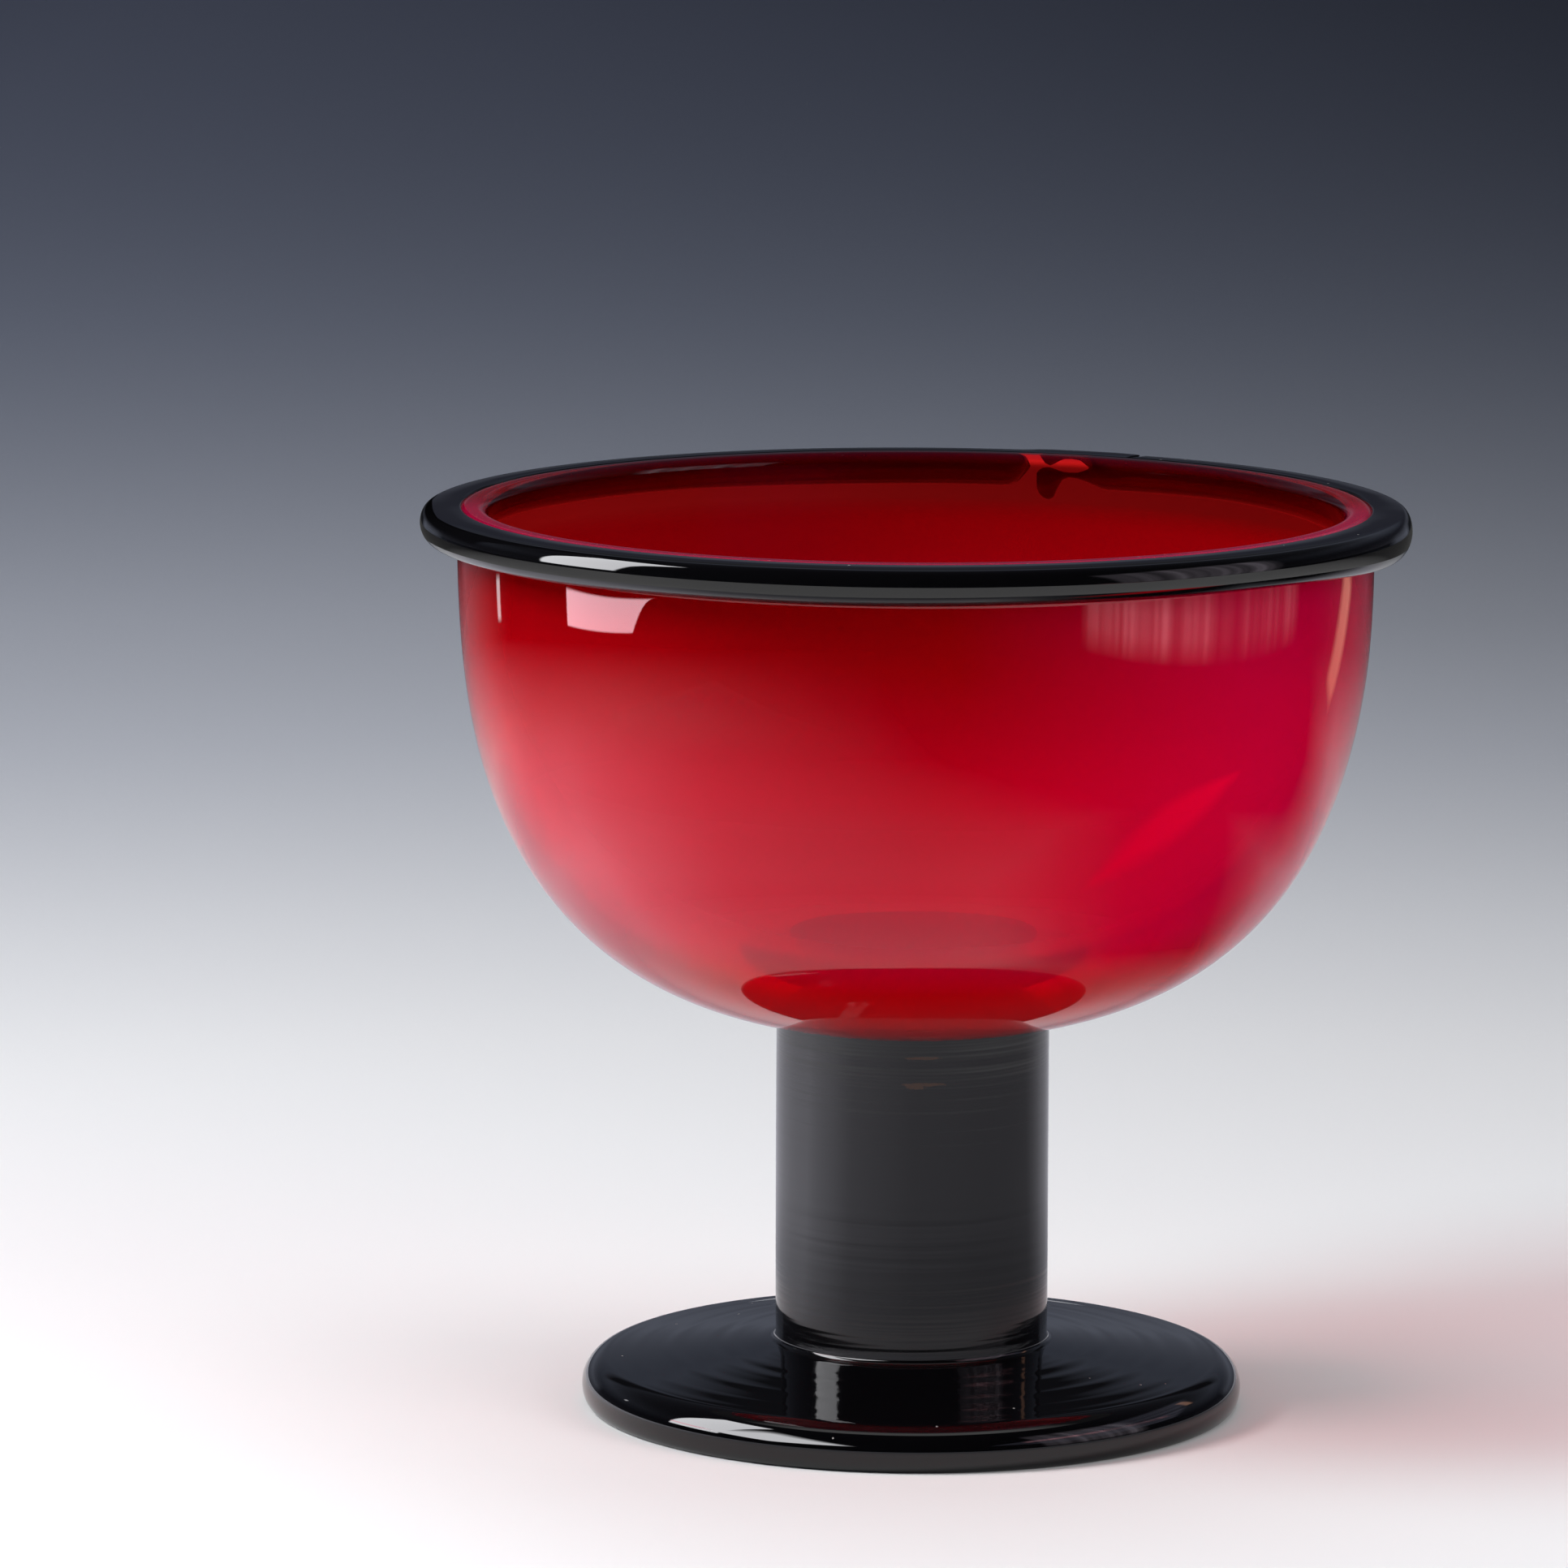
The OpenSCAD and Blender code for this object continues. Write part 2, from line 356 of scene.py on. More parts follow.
class Effects:
    """Node groups that more than one glass uses, each built once."""

    streak_stretch: Place = (3.0, 3.0, 160.0)
    streak_scale = 2.0
    waver_scale = 18.0
    speck_size = 0.10
    least_up = 0.3

    def __init__(self) -> None:
        """Builds the groups."""
        self.unevenness = self.build_unevenness()
        self.turned_rings = self.build_turned_rings()
        self.dust = self.build_dust()

    @staticmethod
    def group(
        name: str, inputs: dict[str, float], outputs: Sequence[str]
    ) -> tuple[NodeSet, Parts, Parts]:
        """Starts a node group.

        Args:
            name: The group's name.
            inputs: The default of each input value.
            outputs: The names of its output values.

        Returns:
            The nodes, the input sockets by name, and the output sockets by name.
        """
        tree = bpy.data.node_groups.new(name, "ShaderNodeTree")
        for label, default in inputs.items():
            socket = tree.interface.new_socket(label, in_out="INPUT", socket_type="NodeSocketFloat")
            socket.default_value = default
        for label in outputs:
            tree.interface.new_socket(label, in_out="OUTPUT", socket_type="NodeSocketFloat")
        nodes = NodeSet(tree)
        source = nodes.add("NodeGroupInput")
        sink = nodes.add("NodeGroupOutput")
        return nodes, source.outputs, sink.inputs

    def build_unevenness(self) -> bpy.types.NodeTree:
        """The slow swell of a blown surface, with fine streaks round the axis where a tool ran.

        Returns:
            The group, which puts out Height.
        """
        nodes, given, out = self.group(
            "HandWorkedSurface", {"Swell Scale": 14.0, "Streak Amount": 0.3}, ["Height"]
        )
        place = nodes.add("ShaderNodeTexCoord").outputs["Object"]
        swell = nodes.noise(place, given["Swell Scale"], 1.0)
        stretched = nodes.add(
            "ShaderNodeMapping", {"Vector": place, "Scale": self.streak_stretch}
        ).outputs[0]
        streak = nodes.noise(stretched, self.streak_scale)
        total = nodes.math("MULTIPLY_ADD", streak, given["Streak Amount"], swell)
        nodes.tree.links.new(total, out["Height"])
        return nodes.tree

    def build_turned_rings(self) -> bpy.types.NodeTree:
        """Shallow rings round the Z axis, broken along their length, from turning against a tool.

        Returns:
            The group, which puts out Height.
        """
        nodes, given, out = self.group(
            "TurnedRings", {"Rings Per Metre": 120.0, "Waver": 0.4}, ["Height"]
        )
        place = nodes.add("ShaderNodeTexCoord").outputs["Object"]
        parts = nodes.add("ShaderNodeSeparateXYZ", {0: place}).outputs
        across = nodes.math("MULTIPLY", parts["X"], parts["X"])
        along = nodes.math("MULTIPLY", parts["Y"], parts["Y"])
        radius = nodes.math("SQRT", nodes.math("ADD", across, along))
        slow = nodes.noise(place, self.waver_scale)
        phase = nodes.math("MULTIPLY", radius, given["Rings Per Metre"])
        phase = nodes.math("MULTIPLY_ADD", slow, given["Waver"], phase)
        spread = nodes.add("ShaderNodeCombineXYZ", {"X": phase, "Y": slow}).outputs[0]
        nodes.tree.links.new(nodes.noise(spread, 1.0), out["Height"])
        return nodes.tree

    def build_dust(self) -> bpy.types.NodeTree:
        """Sparse specks of dust that lie on faces which look up.

        Returns:
            The group, which puts out Mask.
        """
        nodes, given, out = self.group(
            "SettledDust", {"Specks Per Metre": 300.0, "Share": 0.06}, ["Mask"]
        )
        place = nodes.add("ShaderNodeTexCoord").outputs["Object"]
        cells = nodes.add(
            "ShaderNodeTexVoronoi", {"Vector": place, "Scale": given["Specks Per Metre"]}
        )
        near = nodes.math("LESS_THAN", cells.outputs["Distance"], self.speck_size)
        picked = nodes.add("ShaderNodeSeparateColor", {0: cells.outputs["Color"]}).outputs[0]
        chosen = nodes.math("LESS_THAN", picked, given["Share"])
        up = nodes.add(
            "ShaderNodeSeparateXYZ", {0: nodes.add("ShaderNodeNewGeometry").outputs["Normal"]}
        ).outputs["Z"]
        lying = nodes.math("GREATER_THAN", up, self.least_up)
        nodes.tree.links.new(nodes.times(near, chosen, lying), out["Mask"])
        return nodes.tree


def new_material(name: str) -> tuple[bpy.types.Material, NodeSet, bpy.types.Node]:
    """Starts a material with nothing in it but its output.

    Args:
        name: The material's name.

    Returns:
        The material, its nodes, and the output node.
    """
    material = bpy.data.materials.new(name)
    material.use_nodes = True
    material.node_tree.nodes.clear()
    nodes = NodeSet(material.node_tree)
    output = nodes.add("ShaderNodeOutputMaterial")
    return material, nodes, output


@dataclass(frozen=True)
class RedGlass:
    """Red glass, clear but faintly milky, coloured all through and deeper towards the bottom, with
    painted light and shade in its colour: darker towards the lip under the trail, a whitish sheen
    at grazing edges, and a pink glow on the lip.

    A pair of places tells where a change of colour starts and where it is complete.
    """

    name: str = "clear_red_glass"
    ior: float = 1.5
    clear_share: float = 0.7
    roughness: float = 0.0
    dust_roughness: float = 0.5
    swell_scale: float = 18.0
    swell_depth: float = 0.00012
    inside_tint: Colour = (0.975, 0.05, 0.12)
    inside_density: float = 100.0
    shade: Colour = (0.795, 0.748, 0.755)
    ramp_heights: Point = (0.105, 0.24)
    # Red by height, darker towards the lip: the glass's colour with painted shade under the trail.
    colour_and_shade_stops: Sequence[Row] = (
        (0.00, 0.90, 0.001, 0.000),
        (0.14, 0.92, 0.001, 0.010),
        (0.24, 0.98, 0.001, 0.075),
        (0.55, 0.87, 0.001, 0.050),
        (0.80, 0.62, 0.001, 0.010),
        (1.00, 0.52, 0.001, 0.002),
    )
    crimson: Colour = (0.79, 0.003, 0.137)
    crimson_share: float = 0.75
    crimson_across: Point = (0.0107, 0.0821)
    crimson_up: Point = (0.125, 0.25)
    crimson_forward: Point = (0.012, -0.028)
    drift_scale: float = 9.0
    drift: float = 0.06
    # A painted whitish sheen at grazing edges, stronger lower down and at the left, for the
    # reflected light of the floor and the lamp at the left.
    painted_sheen: Colour = (1.0, 0.10, 0.12)
    painted_sheen_share: float = 0.7
    painted_sheen_facing: Point = (0.5, 0.9545)
    painted_sheen_fall: float = 2.2
    painted_sheen_across: Point = (-0.08, -0.13)
    painted_sheen_more: float = 1.5
    # A painted pink glow on the lip's top, for light led up through the wall.
    lip_glow_tint: Colour = (0.95, 0.02, 0.2)
    lip_glow_share: float = 0.6
    lip_heights: Point = (0.2376, 0.2396)
    lint: Colour = (1.0, 0.7, 0.7)
    lint_per_metre: float = 430.0
    lint_share: float = 0.35
    dust_per_metre: float = 420.0
    dust_share: float = 0.05
    thin_tint: Colour = (0.97, 0.04, 0.03)
    thin_share: float = 0.9
    thin_heights: Point = (0.22125, 0.2275)
    thin_back: Point = (-0.0125, 0.0125)

    def colour(self, nodes: NodeSet, effects: Effects) -> Socket:
        """The glass's red: by height, darker towards the lip as painted shade; crimson at the front
        right; a painted whitish sheen at grazing edges; a painted pink glow on the lip.

        Args:
            nodes: The material's nodes.
            effects: The shared node groups.

        Returns:
            The colour socket.
        """
        place, parts = nodes.position()
        low, high = self.ramp_heights
        above = nodes.math("SUBTRACT", parts["Z"], low)
        height = nodes.math("DIVIDE", above, high - low, clamp=True)
        slow = nodes.math("SUBTRACT", nodes.noise(place, self.drift_scale, 1.0), 0.5)
        across = nodes.math("MULTIPLY_ADD", slow, self.drift, parts["X"])
        crimson = nodes.times(
            nodes.rise(across, *self.crimson_across),
            nodes.rise(height, *self.crimson_up),
            nodes.rise(parts["Y"], *self.crimson_forward),
            self.crimson_share,
        )
        # The ramp darkens the red towards the lip: painted shade under the trail.
        red = nodes.blend(crimson, nodes.ramp(height, self.colour_and_shade_stops), self.crimson)
        # Painted sheen: a whitish tint at grazing edges, stronger lower down and at the left, for
        # the reflected floor and left lamp.
        edge = nodes.add("ShaderNodeLayerWeight", {"Blend": 0.5}).outputs["Facing"]
        sheen_lower_down = nodes.math("MULTIPLY_ADD", height, -self.painted_sheen_fall, self.painted_sheen_fall / 2)
        left = nodes.rise(parts["X"], *self.painted_sheen_across)
        reach = nodes.math("MULTIPLY_ADD", left, self.painted_sheen_more, sheen_lower_down)
        reach = nodes.math("MINIMUM", reach, 1.0, clamp=True)
        red = nodes.blend(
            nodes.times(nodes.rise(edge, *self.painted_sheen_facing), reach, self.painted_sheen_share), red, self.painted_sheen
        )
        # A painted pink glow on the lip's top, for light led up through the wall; the lint specks
        # laid over it are real dust.
        on_lip = nodes.rise(parts["Z"], *self.lip_heights)
        red = nodes.blend(nodes.times(on_lip, self.lip_glow_share), red, self.lip_glow_tint)
        lint = nodes.add(
            "ShaderNodeGroup",
            {"Specks Per Metre": self.lint_per_metre, "Share": self.lint_share},
            node_tree=effects.dust,
        )
        return nodes.blend(nodes.times(on_lip, lint.outputs["Mask"]), red, self.lint)

    def material(self, effects: Effects) -> bpy.types.Material:
        """Builds the material: milky red glass, clearer in a band round the back of the lip.

        Args:
            effects: The shared node groups.

        Returns:
            The material.
        """
        material, nodes, output = new_material(self.name)
        surface = nodes.add(
            "ShaderNodeGroup",
            {"Swell Scale": self.swell_scale, "Streak Amount": 0.0},
            node_tree=effects.unevenness,
        )
        bump = nodes.add(
            "ShaderNodeBump",
            {"Height": surface.outputs["Height"], "Distance": self.swell_depth, "Strength": 1.0},
        )
        dust = nodes.add(
            "ShaderNodeGroup",
            {"Specks Per Metre": self.dust_per_metre, "Share": self.dust_share},
            node_tree=effects.dust,
        )
        mask = dust.outputs["Mask"]
        rough = nodes.math("MULTIPLY_ADD", mask, self.dust_roughness, self.roughness)
        both = {"Roughness": rough, "IOR": self.ior, "Normal": bump.outputs[0]}
        red = self.colour(nodes, effects)
        milky = nodes.add(
            "ShaderNodeBsdfPrincipled",
            {"Base Color": red, "Transmission Weight": self.clear_share, **both},
        )
        thin = nodes.add(
            "ShaderNodeBsdfPrincipled",
            {"Base Color": (*self.thin_tint, 1.0), "Transmission Weight": 1.0, **both},
        )
        parts = nodes.position()[1]
        band = nodes.times(
            nodes.rise(parts["Z"], *self.thin_heights),
            nodes.rise(parts["Y"], *self.thin_back),
            self.thin_share,
        )
        glass = nodes.mix_shaders(band, milky, thin).node
        clear = nodes.add("ShaderNodeBsdfTransparent", {"Color": (*self.shade, 1.0)})
        shaded = nodes.mix_shaders(nodes.light_path("Is Shadow Ray"), glass, clear)
        inside = nodes.add(
            "ShaderNodeVolumeAbsorption",
            {"Color": (*self.inside_tint, 1.0), "Density": self.inside_density},
        )
        nodes.tree.links.new(shaded, output.inputs["Surface"])
        nodes.tree.links.new(inside.outputs[0], output.inputs["Volume"])
        return material


@dataclass(frozen=True)
class BlackGlass:
    """Black glass, so dark that no light comes through, with a surface set by the flame.

    marks: X, height, half width and half height of each mark, in metres.
    """

    name: str
    colour: Colour
    roughness: float
    ior: float = 1.52
    swell_scale: float = 20.0
    streaks: float = 0.2
    swell_depth: float = 0.0001
    rings_per_metre: float = 0.0
    ring_depth: float = 0.0
    dust_share: float = 0.04
    dust_roughness: float = 0.5
    dust_colour: Colour = (0.30, 0.29, 0.28)
    marks: Sequence[Row] = ()
    mark_colour: Colour = (0.045, 0.022, 0.008)
    mark_ragged_scale: float = 900.0
    mark_ragged: float = 1.6
    mark_edge: Point = (1.7, 1.2)

    def marked(self, nodes: NodeSet) -> Socket:
        """Where a tool has bruised the glass: lens-shaped marks on its front.

        Args:
            nodes: The material's nodes.

        Returns:
            The mask.
        """
        place, parts = nodes.position()
        ragged = nodes.noise(place, self.mark_ragged_scale)
        mask: object = 0.0
        for across, height, half_w, half_h in self.marks:
            wide = nodes.math("DIVIDE", nodes.math("SUBTRACT", parts["X"], across), half_w)
            high = nodes.math("DIVIDE", nodes.math("SUBTRACT", parts["Z"], height), half_h)
            off = nodes.math("MULTIPLY_ADD", wide, wide, nodes.math("MULTIPLY", high, high))
            off = nodes.math("MULTIPLY_ADD", ragged, self.mark_ragged, off)
            mask = nodes.math("MAXIMUM", mask, nodes.rise(off, *self.mark_edge))
        return nodes.times(mask, nodes.math("LESS_THAN", parts["Y"], 0.0))

    def material(self, effects: Effects) -> bpy.types.Material:
        """Builds the material.

        Args:
            effects: The shared node groups.

        Returns:
            The material.
        """
        material, nodes, output = new_material(self.name)
        surface = nodes.add(
            "ShaderNodeGroup",
            {"Swell Scale": self.swell_scale, "Streak Amount": self.streaks},
            node_tree=effects.unevenness,
        )
        bump = nodes.add(
            "ShaderNodeBump",
            {"Height": surface.outputs["Height"], "Distance": self.swell_depth, "Strength": 1.0},
        )
        if self.ring_depth > 0:
            rings = nodes.add(
                "ShaderNodeGroup",
                {"Rings Per Metre": self.rings_per_metre},
                node_tree=effects.turned_rings,
            )
            bump = nodes.add(
                "ShaderNodeBump",
                {
                    "Height": rings.outputs["Height"],
                    "Distance": self.ring_depth,
                    "Strength": 1.0,
                    "Normal": bump.outputs[0],
                },
            )
        dust = nodes.add("ShaderNodeGroup", {"Share": self.dust_share}, node_tree=effects.dust)
        mask = dust.outputs["Mask"]
        rough = nodes.math("MULTIPLY_ADD", mask, self.dust_roughness, self.roughness)
        black: object = self.colour
        if self.marks:
            black = nodes.blend(self.marked(nodes), self.colour, self.mark_colour)
        glass = nodes.add(
            "ShaderNodeBsdfPrincipled",
            {
                "Base Color": nodes.blend(mask, black, self.dust_colour),
                "Roughness": rough,
                "IOR": self.ior,
                "Normal": bump.outputs[0],
            },
        )
        nodes.tree.links.new(glass.outputs[0], output.inputs["Surface"])
        return material


@dataclass
class Cup:
    """The blown cup: clear red, thick at the bottom, its lip rounded by the flame."""

    lip_h: float = 240.0
    radius: float = 120.2
    depth: float = 138.6
    wall: float = 8.0
    bottom: float = 14.0
    side_share: float = 0.777
    bottom_share: float = 0.716
    outer_round: float = 2.8
    inner_round: float = 3.0
    segments: int = 288
    curve_points: int = 110
    curve_crowding: float = 1.6
    lip_points: int = 10
    free_radii: Point = (40.0, 100.0)
    free_heights: Point = (228.0, 198.0)
    waves: Sequence[Row] = ((2, 0.16, 0.7, 0.0), (3, 0.07, 0.0, 1 / 17), (5, 0.04, 0.0, -1 / 11))
    glass: RedGlass = field(default_factory=RedGlass)

    def side(self, radius: float, depth: float, keep_below: float) -> list[Point]:
        """The curve of one side, from the lip down to the axis.

        Args:
            radius: Its radius at the lip.
            depth: Its depth at the axis.
            keep_below: How far below the lip it starts.

        Returns:
            Radius and height of each point.
        """
        points: list[Point] = []
        for i in range(1, self.curve_points + 1):
            turn = math.radians(90 * (i / self.curve_points) ** self.curve_crowding)
            out = radius * max(math.cos(turn), 0.0) ** self.side_share
            height = self.lip_h - depth * math.sin(turn) ** self.bottom_share
            if height < self.lip_h - keep_below:
                points.append((0.0 if i == self.curve_points else out, height))
        return points

    def profile(self) -> list[Point]:
        """The whole outline: up the outside from the axis, over the lip, and down the hollow.

        Returns:
            Radius and height of each point.
        """
        outside = self.side(self.radius, self.depth, self.outer_round)[::-1]
        hollow_r = self.radius - self.wall
        hollow = self.side(hollow_r, self.depth - self.bottom, self.inner_round)
        lip = corner(
            (self.radius - self.outer_round, self.lip_h - self.outer_round),
            self.outer_round, self.outer_round, 0, 90, self.lip_points,
        )
        inner_lip = corner(
            (hollow_r + self.inner_round, self.lip_h - self.inner_round),
            self.inner_round, self.inner_round, 90, 180, self.lip_points,
        )
        return outside + lip + inner_lip + hollow

    def wander(self, turn: np.ndarray, radius: np.ndarray, height: np.ndarray) -> np.ndarray:
        """How far the blown wall strays from true round: less than a quarter of a millimetre.

        Args:
            turn: The angle of each point, in radians.
            radius: Its radius.
            height: Its height.

        Returns:
            The distance outwards.
        """
        free = reach_in(radius, *self.free_radii) * reach_in(height, *self.free_heights)
        return free * lobes(self.waves, turn, height)

    def build(self, effects: Effects) -> list[bpy.types.Object]:
        """Builds and dresses the cup.

        Args:
            effects: The shared node groups.

        Returns:
            The new pieces.
        """
        cup = lathe("red_cup", self.profile(), self.segments, self.wander)
        cup.data.materials.append(self.glass.material(effects))
        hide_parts("cup")
        return [cup]


@dataclass
class LipTrail:
    """The black trail, wound once round the lip, its last end lapped over its first.

    tail: Share of the drop's length, then depth of top and base, and width, as shares of the whole.
    lap: Share of the last end's length, then depth of its base, and width, as shares of the whole.
    steps: How many cross-sections the drop, the eye's top, the open rim and the last end have.
    wide_waves, down_waves: Count in a full turn, reach and phase of each wave.
    """

    cup: Cup
    width: float = 9.8
    height: float = 9.7
    swelling: float = 2.6
    creep: float = 1.4
    inner_round: float = 0.6
    fall: float = 0.4
    edge_w: float = 2.6
    shoulder_h: float = 4.3
    belly_w: float = 4.3
    seat_h: float = 5.8
    tail_len: float = 21.0
    lap_len: float = 38.0
    lap_reach: float = 27.0
    seam_gap: float = 0.12
    rise_turn: float = 0.8
    join_share: float = 0.2045
    steps: tuple[int, ...] = (73, 41, 401, 97)
    shrink: float = 0.10
    wide_waves: Sequence[Row] = ((5, 0.09, 0.4), (11, -0.05, 1.1))
    down_waves: Sequence[Row] = ((4, 0.10, 2.0), (9, 0.07, 0.0))
    free_from: float = 3.0
    low_zone: Point = (5.0, 9.0)
    swell_half_share: float = 0.14
    sink: float = 0.12
    glass: BlackGlass = BlackGlass(
        "black_trail_glass", (0.0025, 0.0024, 0.003), 0.03, swell_scale=28.0, swell_depth=0.00022
    )
    tail: Sequence[Row] = (
        (0.00, 0.56, 1.02, 0.14),
        (0.03, 0.48, 1.18, 0.26),
        (0.08, 0.42, 1.28, 0.36),
        (0.15, 0.40, 1.33, 0.42),
        (0.22, 0.43, 1.26, 0.38),
        (0.29, 0.47, 0.96, 0.28),
        (0.36, 0.50, 0.74, 0.20),
        (0.46, 0.52, 0.66, 0.18),
        (0.58, 0.51, 0.68, 0.22),
        (0.70, 0.44, 0.76, 0.40),
        (0.82, 0.34, 0.88, 0.72),
        (0.92, 0.26, 0.97, 0.93),
        (1.00, 0.22, 1.00, 1.00),
    )
    lap: Sequence[Row] = (
        (0.00, 1.00, 1.00),
        (0.06, 0.97, 1.00),
        (0.12, 0.86, 0.99),
        (0.18, 0.60, 0.98),
        (0.23, 0.34, 0.97),
        (0.29, 0.22, 0.96),
        (0.36, 0.20, 0.96),
        (0.80, 0.20, 0.96),
        (0.90, 0.19, 0.90),
        (0.96, 0.15, 0.84),
        (1.00, 0.09, 0.72),
    )

    def rim_turn(self, length: float) -> float:
        """The angle, in degrees, of a length along the rim."""
        return math.degrees(length / (self.cup.radius + self.width / 2))

    def lip_in(self, depth: float) -> float:
        """How far the cup's outside lies in from its radius, at a depth below the lip."""
        rest = max(0.0, self.cup.outer_round - depth)
        return self.cup.outer_round - math.sqrt(max(0.0, self.cup.outer_round**2 - rest**2))

    def section(self, top: float, base: float, width: float) -> list[Point]:
        """One cross-section of the trail.

        Args:
            top: Depth of its top below the lip.
            base: Depth of its underside.
            width: Its width out from the wall.

        Returns:
            Distance out from the wall and depth below the lip of each point.
        """
        share = (base - top) / self.height
        slim = width / self.width
        seat = top + self.seat_h * share
        shoulder = top + self.shoulder_h * share
        belly = self.belly_w * slim
        round_r = self.cup.outer_round
        creep_depth = round_r - math.sqrt(round_r**2 - (round_r - self.creep) ** 2)
        start = max(top + self.inner_round * share, creep_depth)
        start_in = min(self.creep, self.lip_in(start))
        inner_w = self.inner_round * slim
        outer_w = self.edge_w * slim
        outer_h = (self.shoulder_h - self.fall) * share
        band = [seat + (start - seat) * i / 5 for i in range(5)]
        return (
            [(-self.lip_in(depth) - self.sink, depth) for depth in band]
            + corner((inner_w - start_in, start), inner_w, start - top, 180, 270, 4)
            + corner((width - outer_w, shoulder), outer_w, outer_h, -90, 0, 12)
            + corner((belly, shoulder), width - belly, base - shoulder, 0, 90, 14)[1:]
            + corner((belly, seat), belly, base - seat, 90, 180, 8)[1:-1]
        )

    def stations(self) -> list[tuple[float, float, float, float]]:
        """The turn past the drop, top, base and width of each cross-section.

        Returns:
            One row for each cross-section, from the drop to the tip of the skin.
        """
        tail_turn = self.rim_turn(self.tail_len)
        lap_turn = self.rim_turn(self.lap_len)
        reach = self.rim_turn(self.lap_reach)
        lap_start = 360 + reach - lap_turn
        drop, eye, rim, end = self.steps
        turns = (
            list(np.linspace(0, tail_turn, drop))
            + list(np.linspace(tail_turn, reach + 1, eye))[1:]
            + list(np.linspace(reach + 1, lap_start, rim))[1:-1]
            + list(np.linspace(lap_start, lap_start + lap_turn, end))
        )
        rows = []
        for turn in turns:
            if turn <= tail_turn:
                top, base, width = (look_up(self.tail, c, turn / tail_turn) for c in (1, 2, 3))
                top, base, width = top * self.height, base * self.height, width * self.width
            else:
                lap_at = min(1.0, (turn + 360 - lap_start) / lap_turn)
                skin = self.height * look_up(self.lap, 1, lap_at)
                top = (skin + self.seam_gap) * (1 - ease((turn - reach) / self.rise_turn))
                if turn < lap_start:
                    away = abs(turn - 360 * self.join_share) / (360 * self.swell_half_share)
                    base = self.height + self.swelling * (1 - ease(away))
                    width = self.width
                else:
                    at = (turn - lap_start) / lap_turn
                    base = self.height * look_up(self.lap, 1, at)
                    width = self.width * look_up(self.lap, 2, at)
            rows.append((turn, top, base, width))
        return rows

    def waver(self, turn: float, depth: float, width: float) -> Point:
        """How far hot glass strays from its even section.

        Args:
            turn: The angle round the rim, in degrees.
            depth: Depth of the point below the lip.
            width: Distance of the point out from the wall.

        Returns:
            The change in distance out and in depth, in millimetres.
        """
        at = math.radians(turn)
        free = ease(width / self.free_from) * ease(depth / self.free_from)
        start, end = self.low_zone
        low = ease((depth - start) / (end - start))
        wide, down = (
            sum(reach * math.sin(count * at + phase) for count, reach, phase in waves)
            for waves in (self.wide_waves, self.down_waves)
        )
        return free * (wide - self.shrink), free * low * down

    def build(self, effects: Effects) -> list[bpy.types.Object]:
        """Builds and dresses the trail.

        Args:
            effects: The shared node groups.

        Returns:
            The new pieces.
        """
        rings = []
        for turn, top, base, width in self.stations():
            at = math.radians(360 * self.join_share - turn)
            ring = []
            for out, depth in self.section(top, base, width):
                more_out, more_down = self.waver(turn, depth, out)
                radius = self.cup.radius + out + more_out
                height = self.cup.lip_h - depth - more_down
                ring.append((radius * math.cos(at), radius * math.sin(at), height))
            rings.append(ring)
        points = [p for ring in rings for p in ring]
        points += [tuple(np.mean(rings[i], axis=0)) for i in (0, -1)]
        faces = [face[::-1] for face in tube_faces(len(rings), len(rings[0]))]
        trail = make_object("black_lip_trail", np.array(points) * MM, faces)
        trail.data.materials.append(self.glass.material(effects))
        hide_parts("lip_trail")
        return [trail]


